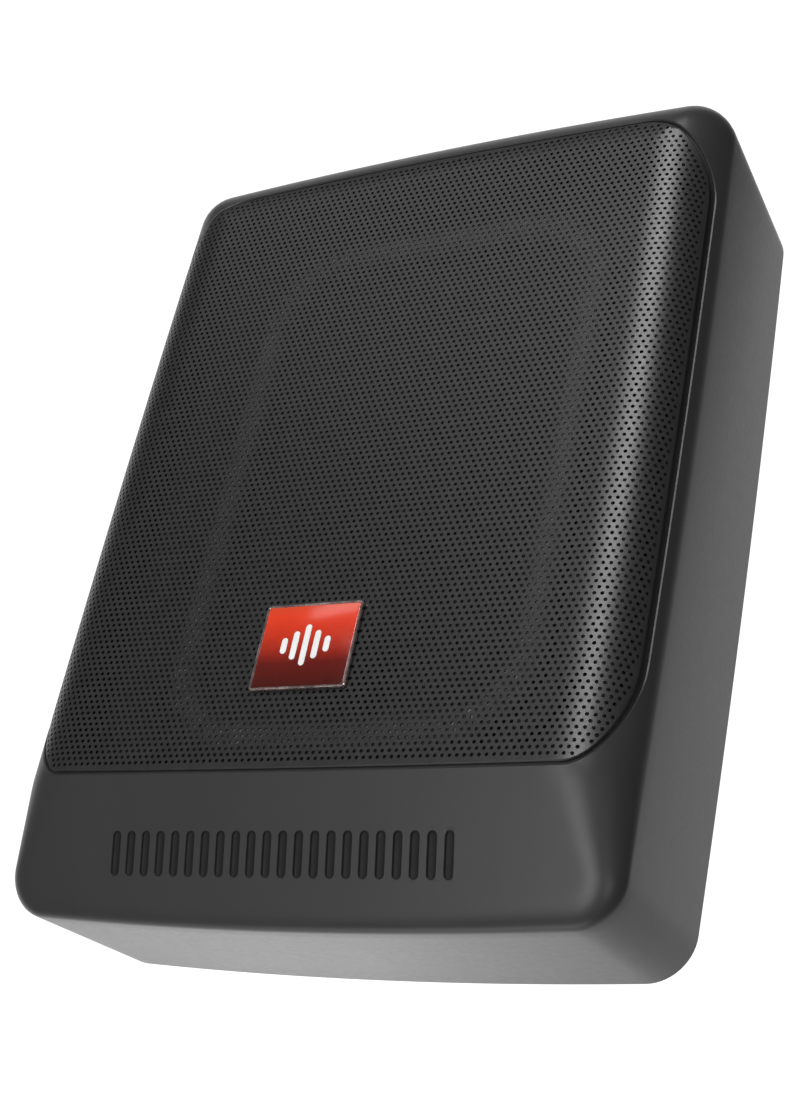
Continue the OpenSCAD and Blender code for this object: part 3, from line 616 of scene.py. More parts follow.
# Painted shade: the floors of the panel's recessed bars are near black, darker than the paint round them.
RECESS_PAINTED_SHADE = moulded("panel_recess_painted_shade", (0.008, 0.008, 0.008), 0.6, specular=0.2)
INNER_BLACK = moulded("shell_inside", (0.02, 0.02, 0.02), 0.6)
BLACK_WIRE = glossy("wire_skin_black", (0.015, 0.015, 0.015), 0.35, 0.1)
PRINT_WHITE = moulded("print_white", (0.6, 0.6, 0.6), 0.5)

SLOT_OF = {s["node"]: s["material_slot"] for s in frame["record"]["subparts"]}
BODY_OF = {n: body for body, members in frame["record"]["behaviour"]["bodies"].items() for n in members}

# ---------- CAD nodes ----------


def finish_node(node):
    """Gives a CAD node that stays as it is its procedural finish."""
    mesh = nodes[node].data
    mesh.materials.clear()
    mesh.materials.append(FINISHES[SLOT_OF[node]])


def softened(node, width=0.2, segments=2, angle=35, sharp=40):
    """The node again, in the same place, with its hard edges rounded over.

    Flat faces are merged first, and a merged face with a notch may be split into triangles wrongly.
    """
    bm = bmesh.new()
    bm.from_mesh(nodes[node].data)
    bmesh.ops.remove_doubles(bm, verts=bm.verts, dist=1e-6)
    bmesh.ops.dissolve_limit(bm, angle_limit=math.radians(1), verts=bm.verts, edges=bm.edges)
    hard = [e for e in bm.edges if len(e.link_faces) == 2 and e.calc_face_angle() > math.radians(angle)]
    bevel_edges(bm, hard, width, segments)
    mesh = bpy.data.meshes.new(node + "_soft")
    bm.to_mesh(mesh)
    bm.free()
    mesh.materials.append(FINISHES[SLOT_OF[node]])
    shade(mesh, sharp)
    obj = bpy.data.objects.new(node + "_soft", mesh)
    bpy.context.scene.collection.objects.link(obj)
    return put(obj, BODY_OF[node], SLOT_OF[node], node)


def paint_first_part(obj, material):
    """Gives a second material to the loose part that holds the first face."""
    bm = bmesh.new()
    bm.from_mesh(obj.data)
    bmesh.ops.remove_doubles(bm, verts=bm.verts, dist=1e-6)
    bm.faces.ensure_lookup_table()
    todo, seen = [bm.faces[0]], set()
    while todo:
        face = todo.pop()
        if face not in seen:
            seen.add(face)
            todo += [other for edge in face.edges for other in edge.link_faces]
    obj.data.materials.append(material)
    for face in seen:
        obj.data.polygons[face.index].material_index = len(obj.data.materials) - 1
    bm.free()


def paint_faces(obj, material, chosen):
    """Gives a second material to the faces whose centre, in millimetres, the test accepts."""
    obj.data.materials.append(material)
    index = len(obj.data.materials) - 1
    for face in obj.data.polygons:
        if chosen(face.center / MM):
            face.material_index = index


# ---------- shell ----------

CROWN_RINGS = 26
LIP_CHAMFER = 0.5
BAR_COUNT = 22
BAR_PITCH = 114 / BAR_COUNT
BAR_W = 2.5
BAR_L = 12.5
BAR_DEPTH = 0.6
BAR_X = -3.4
BAR_Y = -115.8
PORT_HW = 76.0
PORT_Z = (13.0, 37.0)
BOSS_R = 4.0
BOSS_PLACES = [(x, y) for x in (-89, 89) for y in (-105, -35, 35, 105)] + [(-45, -122.5), (45, -122.5)]


FLANGE_HOLES = [(x, WOOFER_Y + y) for x in (-70.3, 70.3) for y in (-28, 28)]
FLANGE_HOLES += [(x, WOOFER_Y + y) for x in (-68.5, 68.5) for y in (-71.68, 71.68)]


def shell_rings():
    crease = wall_loop(CREASE_Z, 0)
    lip = grille_loop(-LIP_CHAMFER)
    ledge = grille_loop(LEDGE_W)
    hole = woofer_loop(67.5, 91.4, 35)
    inner = wall_loop(CREASE_Z, WALL + 0.5)
    roof = grille_loop(LEDGE_W - 2)
    room = np.hypot(*(roof - inner).T)

    def ceiling(loop):
        low = BAFFLE_TOP - BAFFLE_T
        return at_z(loop, np.maximum(low + 0.3, np.minimum(crown_z(loop, WALL), low + room - 1)))

    rings = [at_z(wall_loop(SHELL_Z, 0.5), SHELL_Z)]
    rings += [at_z(wall_loop(z, 0), z) for z in (SHELL_Z + 0.5, 12, 22, 32, 42, 50, CREASE_Z)]
    for k in range(1, CROWN_RINGS + 1):
        rings.append(on_crown(mix(crease, lip, 1 - math.cos(math.pi / 2 * k / CROWN_RINGS))))
    rings += [on_crown(grille_loop(-0.06), 0.36), on_crown(grille_loop(0), 0.5)]
    outside = len(rings)
    rings += [on_crown(grille_loop(0), LEDGE_DROP), on_crown(ledge, LEDGE_DROP), at_z(ledge, BAFFLE_TOP),
              at_z(hole, BAFFLE_TOP), at_z(hole, BAFFLE_TOP - BAFFLE_T), at_z(roof, BAFFLE_TOP - BAFFLE_T),
              ceiling(roof), ceiling(inner), at_z(wall_loop(RIM_Z + 3, WALL), RIM_Z + 3),
              at_z(wall_loop(RIM_Z + 1.5, RIM_W), RIM_Z + 1.5), at_z(wall_loop(RIM_Z, RIM_W), RIM_Z),
              at_z(wall_loop(RIM_Z, WALL), RIM_Z), at_z(wall_loop(SHELL_Z, WALL), SHELL_Z)]
    return rings, outside


def stacked(loops):
    """Closed solid between flat loops with the same point count, given as (x, y, z) arrays."""
    n = len(loops[0])
    faces = ring_faces(len(loops), n, False)
    faces.append(tuple(range(n - 1, -1, -1)))
    faces.append(tuple((len(loops) - 1) * n + i for i in range(n)))
    return np.concatenate(loops), faces


def circle_loop(x, y, r, n=32):
    a = np.arange(n) * 2 * math.pi / n
    return np.stack([x + r * np.cos(a), y + r * np.sin(a)], 1)


def capsule_loop(w, l, n=10):
    """Upright capsule of width w and length l, centred."""
    a = np.linspace(0, math.pi, n + 1)
    top = np.stack([w / 2 * np.cos(a), (l - w) / 2 + w / 2 * np.sin(a)], 1)
    return np.concatenate([top, -top])


def bar_cutter(k):
    """One recessed bar of the front panel, with a rounded floor and an eased mouth."""
    slope = math.atan((CROWN_R - PANEL_LIP) / (HALF_L + PANEL_Y))
    x = BAR_X + (k - (BAR_COUNT - 1) / 2) * BAR_PITCH
    z = crown_z(np.array([[0.0, BAR_Y]]))[0]
    levels = [(-BAR_DEPTH, -0.35), (-BAR_DEPTH + 0.1, -0.12), (-BAR_DEPTH + 0.25, 0), (-0.2, 0),
              (0.0, 0.22), (4.0, 4.22)]
    loops = []
    for height, grow in levels:
        loop = capsule_loop(BAR_W + 2 * grow, BAR_L + 2 * grow)
        y = BAR_Y + loop[:, 1] * math.cos(slope) - height * math.sin(slope)
        up = z + loop[:, 1] * math.sin(slope) + height * math.cos(slope)
        loops.append(np.stack([x + loop[:, 0], y, up], 1))
    return stacked(loops)


def make_shell():
    rings, outside = shell_rings()
    shell = ring_solid("shell_casting", rings, [FINISHES["cast_shell"], RECESS_PAINTED_SHADE, INNER_BLACK])
    n = len(rings[0])
    marks = np.where(np.arange(len(shell.data.polygons)) < outside * n, 0, 2)
    shell.data.polygons.foreach_set("material_index", marks.astype(np.int32))
    bosses = []
    for x, y in BOSS_PLACES:
        top = 51 if y < PANEL_Y - 15 else BAFFLE_TOP - BAFFLE_T + 1
        bosses.append((*stacked([at_z(circle_loop(x, y, BOSS_R), z) for z in (RIM_Z, top)]), 2))
    boolean(shell, joined("bosses", bosses), "UNION")
    port = np.array([(-PORT_HW, 110.0), (PORT_HW, 110.0), (PORT_HW, 150.0), (-PORT_HW, 150.0)])
    cuts = [(*stacked([at_z(port, z) for z in PORT_Z]), 0)]
    # the faces the bars cut take the painted recess shade
    cuts += [(*bar_cutter(k), 1) for k in range(BAR_COUNT)]
    cuts += [(*stacked([at_z(circle_loop(x, y, 1.5), z) for z in (RIM_Z - 1, RIM_Z + 14)]), 2)
             for x, y in BOSS_PLACES]
    low, high = BAFFLE_TOP - BAFFLE_T - 1, BAFFLE_TOP + 1
    cuts += [(*stacked([at_z(circle_loop(x, y, 1.5), z) for z in (low, high)]), 2) for x, y in FLANGE_HOLES]
    boolean(shell, joined("cuts", cuts), "DIFFERENCE")
    soften_port(shell)
    shade(shell.data, 32)
    return put(shell, "housing", "cast_shell", "shell")


def soften_port(shell):
    """Rounds the edge where the rear port meets the outer wall."""
    bm = bmesh.new()
    bm.from_mesh(shell.data)
    edges = []
    for e in bm.edges:
        ends = [v.co / MM for v in e.verts]
        at_port = all(abs(p.x) < PORT_HW + 0.05 and p.y > 128.5 for p in ends)
        at_port = at_port and all(PORT_Z[0] - 0.05 < p.z < PORT_Z[1] + 0.05 for p in ends)
        if at_port and len(e.link_faces) == 2 and e.calc_face_angle() > math.radians(60):
            edges.append(e)
    bevel_edges(bm, edges, 0.6, 3)
    bm.to_mesh(shell.data)
    bm.free()


# ---------- grille ----------

PITCH_X = 2.2
PITCH_Y = 1.85
HOLE_R = 0.58
HOLE_SIDES = 8
CELL_MARGIN = 0.1
HOLE_MARGIN = 0.3
SHEET_T = 0.4
RIM_T = 1.05
RIM_EASE = 0.35
GRILLE_STRIPS = 4
FRAME_INSETS = (4.6, 6.8)
FRAME_DROP = 1.3


def to_sheet(p):
    """Places on the crown as places on the flat sheet that was pressed into it."""
    out = p.copy()
    x0 = HALF_W - SIDE_BOW * (p[:, 1] / HALF_L) ** 2 - CROWN_R
    y0 = HALF_L - END_BOW * (p[:, 0] / HALF_W) ** 2 - CROWN_R
    ax, ay = abs(p[:, 0]), p[:, 1]
    bent = x0 + CROWN_R * np.arcsin(np.clip((ax - x0) / CROWN_R, 0, 1))
    out[:, 0] = np.where(ax > x0, np.sign(p[:, 0]) * bent, p[:, 0])
    out[:, 1] = np.where(ay > y0, y0 + CROWN_R * np.arcsin(np.clip((ay - y0) / CROWN_R, 0, 1)), ay)
    return out


def to_crown(s):
    """The reverse of to_sheet."""
    out = s.copy()
    y0 = HALF_L - END_BOW * np.minimum(1, (s[:, 0] / HALF_W) ** 2) - CROWN_R
    out[:, 1] = np.where(s[:, 1] > y0, y0 + CROWN_R * np.sin(np.maximum(0, s[:, 1] - y0) / CROWN_R), s[:, 1])
    x0 = HALF_W - SIDE_BOW * (out[:, 1] / HALF_L) ** 2 - CROWN_R
    over = np.maximum(0, abs(s[:, 0]) - x0) / CROWN_R
    out[:, 0] = np.where(over > 0, np.sign(s[:, 0]) * (x0 + CROWN_R * np.sin(over)), s[:, 0])
    return out


def inside(points, loop):
    """Which points lie inside a closed loop."""
    x, y = points[:, 0], points[:, 1]
    result = np.zeros(len(points), bool)
    for a, b in zip(loop, np.roll(loop, -1, 0)):
        crosses = (a[1] > y) != (b[1] > y)
        if crosses.any():
            at = a[0] + (y[crosses] - a[1]) / (b[1] - a[1]) * (b[0] - a[0])
            result[crosses] ^= x[crosses] < at
    return result


CELL_EDGE = [(1, 1), (0, 1), (-1, 1), (-1, -1), (0, -1), (1, -1)]


def lattice_keys():
    """Centres of the staggered cells, in half pitches, and the half pitches."""
    columns = int(HALF_W / PITCH_X) + 8
    rows = int(HALF_L / PITCH_Y) + 8
    keys = [(2 * i + j % 2, 2 * j) for j in range(-rows, rows + 1) for i in range(-columns, columns + 1)]
    return np.array(keys), np.array([PITCH_X / 2, PITCH_Y / 2])


def all_inside(centres, offsets, border):
    """Which centres have every one of their offset points inside the border."""
    fits = np.ones(len(centres), bool)
    for offset in offsets:
        fits &= inside(centres + offset, border)
    return fits


def octagon(r):
    turn = (np.arange(HOLE_SIDES) + 0.5) * 2 * math.pi / HOLE_SIDES
    return r * np.stack([np.cos(turn), np.sin(turn)], 1)


def zip_rings(outer, inner):
    """Triangles between two rings of directions, each an angle list, joined in step round the turn."""
    n, m = len(outer), len(inner)
    i = j = 0
    faces = []
    while i < n or j < m:
        next_outer = outer[(i + 1) % n] + 2 * math.pi * ((i + 1) // n) if i < n else 1e9
        next_inner = inner[(j + 1) % m] + 2 * math.pi * ((j + 1) // m) if j < m else 1e9
        if next_outer <= next_inner:
            faces.append((i % n, (i + 1) % n, n + j % m))
            i += 1
        else:
            faces.append((i % n, n + (j + 1) % m, n + j % m))
            j += 1
    return faces


def perforated_sheet():
    """Flat faces of the perforated sheet: points of the sheet, triangles, and how far each point stands in
    from the sheet's edge. Points at the edge itself are marked so that they can be eased downwards."""
    steps = (16, 60, 80)
    edge = to_sheet(grille_loop(GRILLE_GAP, steps))
    eased = to_sheet(grille_loop(GRILLE_GAP + RIM_EASE, steps))
    border = to_sheet(grille_loop(GRILLE_GAP + RIM_EASE + CELL_MARGIN, steps))
    every, half = lattice_keys()
    keys = every[all_inside(every * half, np.array(CELL_EDGE) * half, border)]
    around = np.array(CELL_EDGE)
    corner_keys = (keys[:, None] + around[None]).reshape(-1, 2)
    unique, index = np.unique(corner_keys, axis=0, return_inverse=True)
    index = index.reshape(-1, len(CELL_EDGE))
    turn = (np.arange(HOLE_SIDES) + 0.5) * 2 * math.pi / HOLE_SIDES
    holes = ((keys * half)[:, None] + octagon(HOLE_R)[None]).reshape(-1, 2)
    outer_turn = [math.atan2(b * half[1], a * half[0]) % (2 * math.pi) for a, b in CELL_EDGE]
    order = zip_rings(outer_turn, list(turn))
    first_hole = len(unique)
    local = np.concatenate([index, first_hole + np.arange(len(holes)).reshape(-1, HOLE_SIDES)], 1)
    triangles = local[:, np.array(order)].reshape(-1, 3)
    taken = {tuple(k) for k in keys.tolist()}
    spare = every[all_inside(every * half, octagon(HOLE_R + HOLE_MARGIN), eased)]
    spare = np.array([k for k in spare.tolist() if tuple(k) not in taken]) * half
    edge_holes = (spare[:, None] + octagon(HOLE_R)[None]).reshape(-1, 2)
    points = [unique * half, holes, edge_holes, eased, edge]
    first_edge_hole = first_hole + len(holes)
    first_eased = first_edge_hole + len(edge_holes)
    first_edge = first_eased + len(eased)
    n = len(eased)
    step = np.arange(n)
    after = (step + 1) % n
    ease = np.concatenate([np.stack([first_edge + step, first_edge + after, first_eased + after], 1),
                           np.stack([first_edge + step, first_eased + after, first_eased + step], 1)])
    border_faces = fill_border(unique * half, index, edge_holes, first_edge_hole, eased, taken)
    return np.concatenate(points), np.concatenate([triangles, border_faces, ease]), first_edge


def fill_border(cell_points, index, edge_holes, first_edge_hole, eased, taken):
    """Triangles between the outermost cells, the single holes beyond them and the eased edge."""
    pairs = np.sort(np.stack([index, np.roll(index, -1, 1)], 2).reshape(-1, 2), 1)
    unique, count = np.unique(pairs, axis=0, return_counts=True)
    rim = unique[count == 1]
    used = np.unique(rim)
    local = {int(v): i for i, v in enumerate(used)}
    names = used.tolist() + [first_edge_hole + i for i in range(len(edge_holes) + len(eased))]
    coords = [Vector(p) for p in np.concatenate([cell_points[used], edge_holes, eased])]
    edges = [(local[int(a)], local[int(b)]) for a, b in rim]
    first = len(used)
    for k in range(len(edge_holes) // HOLE_SIDES):
        edges += [(first + k * HOLE_SIDES + i, first + k * HOLE_SIDES + (i + 1) % HOLE_SIDES)
                  for i in range(HOLE_SIDES)]
    first += len(edge_holes)
    edges += [(first + i, first + (i + 1) % len(eased)) for i in range(len(eased))]
    made, _, faces, original, _, _ = delaunay_2d_cdt(coords, edges, [], 1, 1e-7)
    centres = np.array([np.mean([made[i][:] for i in f], 0) for f in faces])
    row = np.round(centres[:, 1] / PITCH_Y).astype(int)
    column = np.round(centres[:, 0] / PITCH_X - (row % 2) / 2).astype(int)
    keys = np.stack([2 * column + row % 2, 2 * row], 1)
    middle = keys * (PITCH_X / 2, PITCH_Y / 2)
    reach = HOLE_R * math.cos(math.pi / HOLE_SIDES)
    holes = edge_holes.reshape(-1, HOLE_SIDES, 2).mean(1)
    holed = {tuple(k) for k in np.round(holes / (PITCH_X / 2, PITCH_Y / 2)).astype(int).tolist()}
    within = inside(centres, eased)
    result = []
    for f, ok, key, gap in zip(faces, within, keys.tolist(), np.hypot(*(centres - middle).T)):
        in_hole = tuple(key) in holed and gap < reach
        if ok and not in_hole and tuple(key) not in taken:
            result.append([names[original[v][0]] for v in f])
    return np.array(result)


def surface_normals(p):
    """Outward normals of the crown at places given as x, y."""
    h = 0.05
    dx = (crown_z(p + (h, 0)) - crown_z(p - (h, 0))) / (2 * h)
    dy = (crown_z(p + (0, h)) - crown_z(p - (0, h))) / (2 * h)
    n = np.column_stack([-dx, -dy, np.ones(len(p))])
    return n / np.linalg.norm(n, axis=1)[:, None]


def sheet_piece(name, top, bottom, triangles):
    """Closed solid from one share of the sheet's triangles, with walls where they end."""
    used, flat = np.unique(triangles, return_inverse=True)
    faces = flat.reshape(-1, 3)
    n = len(used)
    pairs = np.concatenate([faces[:, [0, 1]], faces[:, [1, 2]], faces[:, [2, 0]]])
    _, where, count = np.unique(np.sort(pairs, 1), axis=0, return_inverse=True, return_counts=True)
    open_pairs = pairs[count[where.ravel()] == 1]
    walls = np.stack([open_pairs[:, 1], open_pairs[:, 0], open_pairs[:, 0] + n, open_pairs[:, 1] + n], 1)
    vertices = np.concatenate([top[used], bottom[used]])
    polygons = faces.tolist() + (faces[:, ::-1] + n).tolist() + walls.tolist()
    return new_object(name, vertices, polygons, [FINISHES["black_steel"]], 40)


def make_grille():
    points, triangles, first_edge = perforated_sheet()
    flat = to_crown(points)
    top = on_crown(flat)
    normal = surface_normals(flat)
    at_edge = np.arange(len(points)) >= first_edge
    bottom = top - normal * np.where(at_edge, RIM_T, SHEET_T)[:, None]
    top = top - normal * np.where(at_edge, RIM_EASE, 0)[:, None]
    centre_y = points[triangles][:, :, 1].mean(1)
    cuts = np.linspace(points[:, 1].min(), points[:, 1].max(), GRILLE_STRIPS + 1)
    row_cuts = (np.round(cuts / PITCH_Y - 0.5) + 0.5) * PITCH_Y
    row_cuts[0], row_cuts[-1] = -1e9, 1e9
    for k in range(GRILLE_STRIPS):
        share = triangles[(centre_y > row_cuts[k]) & (centre_y <= row_cuts[k + 1])]
        piece = sheet_piece(f"grille_sheet_{k + 1}", top, bottom, share)
        put(piece, "housing", "black_steel", "grille")


# ---------- badge ----------


def rounded_box(name, lo, hi, radius, ease, material, n=8):
    """Flat rounded plate between two corners, its upper edge eased."""
    cx, cy = (lo[0] + hi[0]) / 2, (lo[1] + hi[1]) / 2
    hw, hl = (hi[0] - lo[0]) / 2, (hi[1] - lo[1]) / 2
    levels = [(0.0, lo[2]), (0.0, hi[2] - ease), (0.3 * ease, hi[2] - 0.3 * ease), (ease, hi[2])]
    loops = []
    for m, z in levels:
        loop = rounded_loop(hw - m, hl - m, max(radius - m, 0.1), max(radius - m, 0.1), (n, 2, 2))
        loops.append(at_z(loop + (cx, cy), z))
    return capped_solid(name, loops, [material])


def frame_solid(name, lo, hi, width, radius, ease, material):
    """Rectangular frame with rounded corners and eased upper edges."""
    centre = ((lo[0] + hi[0]) / 2, (lo[1] + hi[1]) / 2)
    hw, hl = (hi[0] - lo[0]) / 2, (hi[1] - lo[1]) / 2
    section = [(0, lo[2]), (0, hi[2] - ease), (ease, hi[2]), (width - ease, hi[2]), (width, hi[2] - ease),
               (width, lo[2])]
    loops = []
    for m, z in section:
        r = max(radius - m, 0.1)
        loops.append(at_z(rounded_loop(hw - m, hl - m, r, r, (8, 2, 2)) + centre, z))
    return ring_solid(name, loops, [material])


def make_grille_frame():
    """The plastic frame the sheet is clipped to, its top just under the sheet."""
    outer = grille_loop(FRAME_INSETS[0])
    inner = grille_loop(FRAME_INSETS[1])
    rings = [at_z(outer, BAFFLE_TOP), on_crown(outer, FRAME_DROP), on_crown(inner, FRAME_DROP),
             at_z(inner, BAFFLE_TOP)]
    put(ring_solid("grille_frame_ring", rings, [FINISHES["black_plastic"]]), "housing", "black_plastic",
        "grille_frame")


def make_badge():
    plate = rounded_box("badge_plate_eased", *box_mm("badge_plate"), 0.8, 0.12, FINISHES["badge_red"])
    put(plate, "housing", "badge_red", "badge_plate")
    bezel = frame_solid("badge_bezel_eased", badge_lo, badge_hi, 0.8, 1.2, 0.25, FINISHES["badge_metal"])
    put(bezel, "housing", "badge_metal", "badge_bezel")
    softened("badge_bars", 0.08)
    finish_node("badge_pad")


# ---------- woofer ----------

SURROUND_T = 0.8
SURROUND_STEPS = 18
PLEAT_PITCH = 5.2
PLEAT_DEPTH = 2.0
SURROUND_LIP = 1.8
SURROUND_FINE = (90, 22, 60)
SLICES_A_CORNER = 3


def surround_path(offset):
    """Racetrack at an offset from the roll's middle line, fine enough for the pleats."""
    return woofer_loop(ROLL_HW + offset, ROLL_HL + offset, ROLL_CORNER + offset, SURROUND_FINE)


def pleats():
    """Height of the pleats along the racetrack: only in its rounded corners."""
    middle = surround_path(0)
    step = np.hypot(*(np.roll(middle, -1, 0) - middle).T)
    run = np.concatenate([[0], np.cumsum(step)[:-1]])
    over_x = (abs(middle[:, 0]) - (ROLL_HW - ROLL_CORNER - 6)) / 6
    over_y = (abs(middle[:, 1] - WOOFER_Y) - (ROLL_HL - ROLL_CORNER - 6)) / 6
    window = np.clip(over_x, 0, 1) * np.clip(over_y, 0, 1)
    wave = 0.5 + 0.5 * np.cos(run / PLEAT_PITCH * 2 * math.pi)
    return window * (wave - 0.6)


def slices(name, node, rings, spans):
    """Closed slices of a ring, each made from its own run of the ring's points."""
    slot = SLOT_OF[node]
    count = len(rings)
    for k, (first, last, centre, outward, outer, inner) in enumerate(spans):
        pick = np.arange(first, last + 1) % len(rings[0])
        n = len(pick)
        faces = [tuple(a * n for a in range(count)), tuple(a * n + n - 1 for a in reversed(range(count)))]
        for a in range(count):
            b = (a + 1) % count
            faces += [(a * n + i, a * n + i + 1, b * n + i + 1, b * n + i) for i in range(n - 1)]
        vertices = np.concatenate([ring[pick] for ring in rings])
        piece = new_object(f"{name}_{k + 1}", vertices, faces, [FINISHES[slot]], 50)
        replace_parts(piece, node)
        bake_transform(piece)


def surround_spans():
    """Where the slices of the roll begin and end: three to a corner and one to a straight side."""
    corner_steps, end_steps, side_steps = SURROUND_FINE
    spans = []
    first = 0
    for k in range(4):
        sx, sy = (1 if k in (0, 3) else -1), (1 if k < 2 else -1)
        centre = (sx * (ROLL_HW - ROLL_CORNER), WOOFER_Y + sy * (ROLL_HL - ROLL_CORNER))
        step = corner_steps // SLICES_A_CORNER
        angle = 90 / SLICES_A_CORNER
        share = math.cos(math.radians(angle / 2))
        for j in range(SLICES_A_CORNER):
            spans.append((first + step * j, first + step * (j + 1), centre, 90 * k + angle * (j + 0.5),
                          (ROLL_CORNER + ROLL_R) * share, (ROLL_CORNER - ROLL_R) * share))
        reach = ROLL_HL if k % 2 == 0 else ROLL_HW
        straight = end_steps if k % 2 == 0 else side_steps
        spans.append((first + corner_steps, first + corner_steps + straight, (0, WOOFER_Y), 90 * (k + 1),
                      reach + ROLL_R, reach - ROLL_R))
        first += corner_steps + straight
    return spans


def make_surround():
    pleat = pleats()
    rings = [at_z(surround_path(ROLL_R + SURROUND_LIP), FLANGE_TOP),
             at_z(surround_path(ROLL_R + SURROUND_LIP), FLANGE_TOP + SURROUND_T)]
    for sign, radius in ((1, ROLL_R), (-1, ROLL_R - SURROUND_T)):
        arc = []
        for k in range(SURROUND_STEPS + 1):
            a = math.pi * k / SURROUND_STEPS
            lift = SURROUND_T * (1 - math.sin(a)) if sign > 0 else 0
            z = FLANGE_TOP + lift + radius * math.sin(a) + PLEAT_DEPTH * pleat * math.sin(a) ** 2
            arc.append(at_z(surround_path(radius * math.cos(a)), z))
        if sign > 0:
            rings += arc
            rings += [at_z(surround_path(-ROLL_R - SURROUND_LIP), FLANGE_TOP + SURROUND_T),
                      at_z(surround_path(-ROLL_R - SURROUND_LIP), FLANGE_TOP)]
        else:
            rings += arc[::-1]
    slices("surround_roll", "surround", rings, surround_spans())


def make_spider():
    """Corrugated cloth ring, in slices like the roll."""
    inner, outer, landing, thickness = 13.4, 44.0, 46.3, 0.6
    waves, steps, around = 4, 48, 144
    low = box_mm("spider")[0][2]
    share = np.linspace(0, 1, steps + 1)
    top = [(mix(inner, outer, f), 1 + thickness - math.cos(2 * math.pi * waves * f)) for f in share]
    section = [(landing, 0), (landing, thickness)] + top[::-1] + [(r, z - thickness) for r, z in top]
    turn = np.radians(np.arange(around) * 360 / around)
    rings = [at_z(np.stack([r * np.cos(turn), r * np.sin(turn) + WOOFER_Y], 1), low + z) for r, z in section]
    count = 12
    angle = 360 / count
    share = math.cos(math.radians(angle / 2))
    spans = [(around // count * j, around // count * (j + 1), (0, WOOFER_Y), angle * (j + 0.5),
              outer * share, (inner + 1) * share) for j in range(count)]
    slices("spider_cloth", "spider", rings, spans)


def make_tinsel_leads():
    """The flexible leads as the CAD has them."""
    braid = bpy.data.objects.new("tinsel_braid", nodes["tinsel_leads"].data.copy())
    bpy.context.scene.collection.objects.link(braid)
    braid.data.materials.clear()
    braid.data.materials.append(FINISHES[SLOT_OF["tinsel_leads"]])
    shade(braid.data)
    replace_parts(braid, "tinsel_leads")
    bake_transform(braid)


def make_cone():
    """Racetrack cone with shallow pressed ribs that run round it."""
    neck, neck_z, thickness = 14.4, 38.0, 1.0
    edge_hw, edge_hl = ROLL_HW - ROLL_R, ROLL_HL - ROLL_R
    edge_z = FLANGE_TOP - 1.1

    def level(f, lift):
        rib = 0.35 * math.sin(f * math.pi * 6) ** 2 if 0 < f < 1 else 0
        loop = woofer_loop(mix(neck, edge_hw, f), mix(neck, edge_hl, f),
                           mix(neck, ROLL_CORNER - ROLL_R, f), (24, 16, 24))
        return at_z(loop, mix(neck_z, edge_z, f ** 0.9) + lift + rib)

    shares = np.linspace(0, 1, 37)
    rings = [level(f, 0) for f in shares] + [level(f, thickness) for f in shares[::-1]]
    put(ring_solid("cone_body", rings, [FINISHES["cone_paper"]], 50), "cone", "cone_paper", "cone")


# ---------- rear panel ----------

KNOB_X = (-35.0, -48.0, -61.0)
KNOB_Z = 21.0
SLOT_FLOOR = 131.0
PANEL_FACE = 126.0
POINTER_HALF_W = 0.3
POINTER_REACH = (1.1, 4.1)
POINTER_RISE = 0.3
MARK_HALF_W = 0.15
MARK_REACH = (5.0, 5.9)
MARK_RISE = 0.03
MARK_COUNT = 9
KNOB_TURN = 140
SUNK = 0.05
BOX_FACES = [(0, 1, 2, 3), (7, 6, 5, 4), (0, 4, 5, 1), (1, 5, 6, 2), (2, 6, 7, 3), (3, 7, 4, 0)]


def make_pointer(knob, x):
    """White line in the slot of a knob, which turns with it."""
    w = POINTER_HALF_W
    low, high = (KNOB_Z + r for r in POINTER_REACH)
    corners = [(x - w, low), (x + w, low), (x + w, high), (x - w, high)]
    block = [(u, y, v) for y in (SLOT_FLOOR - SUNK, SLOT_FLOOR + POINTER_RISE) for u, v in corners]
    line = new_object(knob + "_line", block, BOX_FACES, [PRINT_WHITE])
    put(line, BODY_OF[knob], SLOT_OF[knob])


def make_scale_marks():
    """Plain printed dashes round each knob, from one end of its turn to the other."""
    parts = []
    for x in KNOB_X:
        for turn in np.radians(np.linspace(-KNOB_TURN, KNOB_TURN, MARK_COUNT)):
            way = np.array([np.sin(turn), np.cos(turn)])
            side = np.array([np.cos(turn), -np.sin(turn)]) * MARK_HALF_W
            near, far = (way * r for r in MARK_REACH)
            corners = [near - side, far - side, far + side, near + side]
            levels = (PANEL_FACE - SUNK, PANEL_FACE + MARK_RISE)
            block = [(x + u, y, KNOB_Z + v) for y in levels for u, v in corners]
            parts.append((block, BOX_FACES, 0))
    marks = joined("knob_scales", parts)
    marks.data.materials.append(PRINT_WHITE)
    put(marks, "housing", SLOT_OF["control_panel"])


def make_rear_panel():
    softened("control_panel", 0.25)
    for knob, x in zip(("gain_knob", "crossover_knob", "boost_knob"), KNOB_X):
        softened(knob, 0.12)
        make_pointer(knob, x)
    make_scale_marks()
    for node in ("phase_lever", "level_lever", "auto_on_lever"):
        softened(node, 0.15)
    for node in ("power_socket", "line_socket", "fuse_holder", "panel_screws", "phono_jacks", "status_lens"):
        softened(node, 0.15)
    contacts = softened("phono_contacts", 0.12)
    paint_faces(contacts, RED_RING, lambda c: c.x > -14)
    fuse = softened("fuse", 0.12)
    paint_faces(fuse, FINISHES["zinc"], lambda c: c.y < 120.9)


# ---------- base ----------


def make_base():
    softened("base_plate", 0.3)
    softened("rubber_feet", 0.6, 3)
    softened("base_screws", 0.15)
    softened("bracket_nuts", 0.2)


make_shell()
make_grille()
make_grille_frame()
make_badge()
make_surround()
make_spider()
make_tinsel_leads()
make_cone()
make_rear_panel()
make_base()

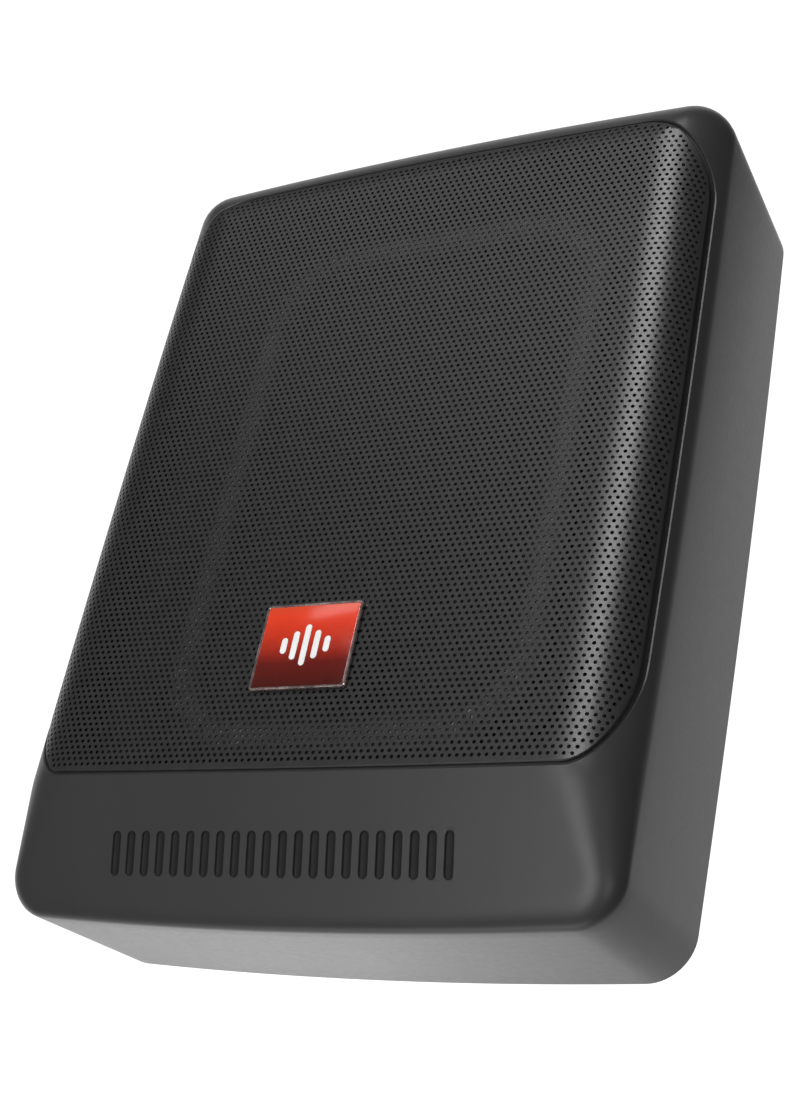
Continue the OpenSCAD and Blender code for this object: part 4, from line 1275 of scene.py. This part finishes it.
REBUILT = {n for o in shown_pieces() for n in o.get("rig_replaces", [])}
for name in nodes:
    if name not in REBUILT:
        finish_node(name)
paint_first_part(nodes["speaker_wires"], BLACK_WIRE)

# ---------- floor and lights ----------

FLOOR_SIZE = 12.0


def floor_plane(name, f):
    """Square of the studio floor with its own glow."""
    mesh = bpy.data.meshes.new(name)
    h = FLOOR_SIZE / 2
    mesh.from_pydata([(-h, -h, 0), (h, -h, 0), (h, h, 0), (-h, h, 0)], [], [(0, 1, 2, 3)])
    f.mottled((0.12, 0.12, 0.12), 0.01, 2)
    f.shader.inputs["Emission Color"].default_value = (1, 1, 1, 1)
    mesh.materials.append(f.material)
    plane = bpy.data.objects.new(name, mesh)
    bpy.context.scene.collection.objects.link(plane)
    return plane


def make_floor():
    """Evenly lit floor for the eye, and in the same place the cards and flags that the gloss sees."""
    f = Finish("floor", roughness=0.9, specular=0.1)
    f.shader.inputs["Emission Strength"].default_value = 1.0
    floor = floor_plane("floor", f)
    floor.visible_diffuse = False
    floor.visible_glossy = False
    f = Finish("cards", roughness=0.9, specular=0.1)
    side = f.combine(f.height_along("X", 0, 1000), f.height_along("Y", -5000, 5000), "ADD")
    base = f.remap(side, (0.616, 0.64), (1.0, 0.16))
    front = f.combine(f.height_along("Y", -110, -140), f.height_along("Y", -450, -250))
    front = f.combine(front, f.height_along("X", 95, -5))
    front = f.combine(front, f.remap(f.height_along("X", -200, -40), (0, 1), (0.4, 1)))
    f.link(f.combine(base, f.remap(front, (0, 1), (0, 1.05)), "ADD"), f.shader.inputs["Emission Strength"])
    cards = floor_plane("cards", f)
    cards.visible_camera = False


def make_light(name, place, aim, size, power):
    """Soft rectangular light at a place, turned to face another, both in millimetres."""
    data = bpy.data.lights.new(name, "AREA")
    data.shape = "RECTANGLE"
    data.size, data.size_y = (v * MM for v in size)
    data.energy = power
    lamp = bpy.data.objects.new(name, data)
    lamp.location = Vector(place) * MM
    lamp.rotation_mode = "QUATERNION"
    lamp.rotation_quaternion = (Vector(aim) - Vector(place)).to_track_quat("-Z", "Y")
    bpy.context.scene.collection.objects.link(lamp)


def make_world(strength):
    world = bpy.data.worlds.new("studio")
    world.use_nodes = True
    background = world.node_tree.nodes["Background"]
    background.inputs["Color"].default_value = (1, 1, 1, 1)
    background.inputs["Strength"].default_value = strength
    bpy.context.scene.world = world


make_floor()
make_world(0.1)
make_light("front", (-280, -1250, 260), (0, -100, 30), (900, 450), 4)
make_light("strip", (10, 600, 1070), (70, 0, 60), (300, 900), 8.5)
make_light("panel", (-110, -380, 1080), (60, -110, 63), (380, 550), 5.5)
make_light("rear", (-850, 1150, 1070), (0, 60, 70), (500, 300), 0.7)
make_light("side", (350, -250, 400), (0, -60, 60), (200, 200), 0.3)
bpy.context.scene.view_settings.view_transform = "Standard"
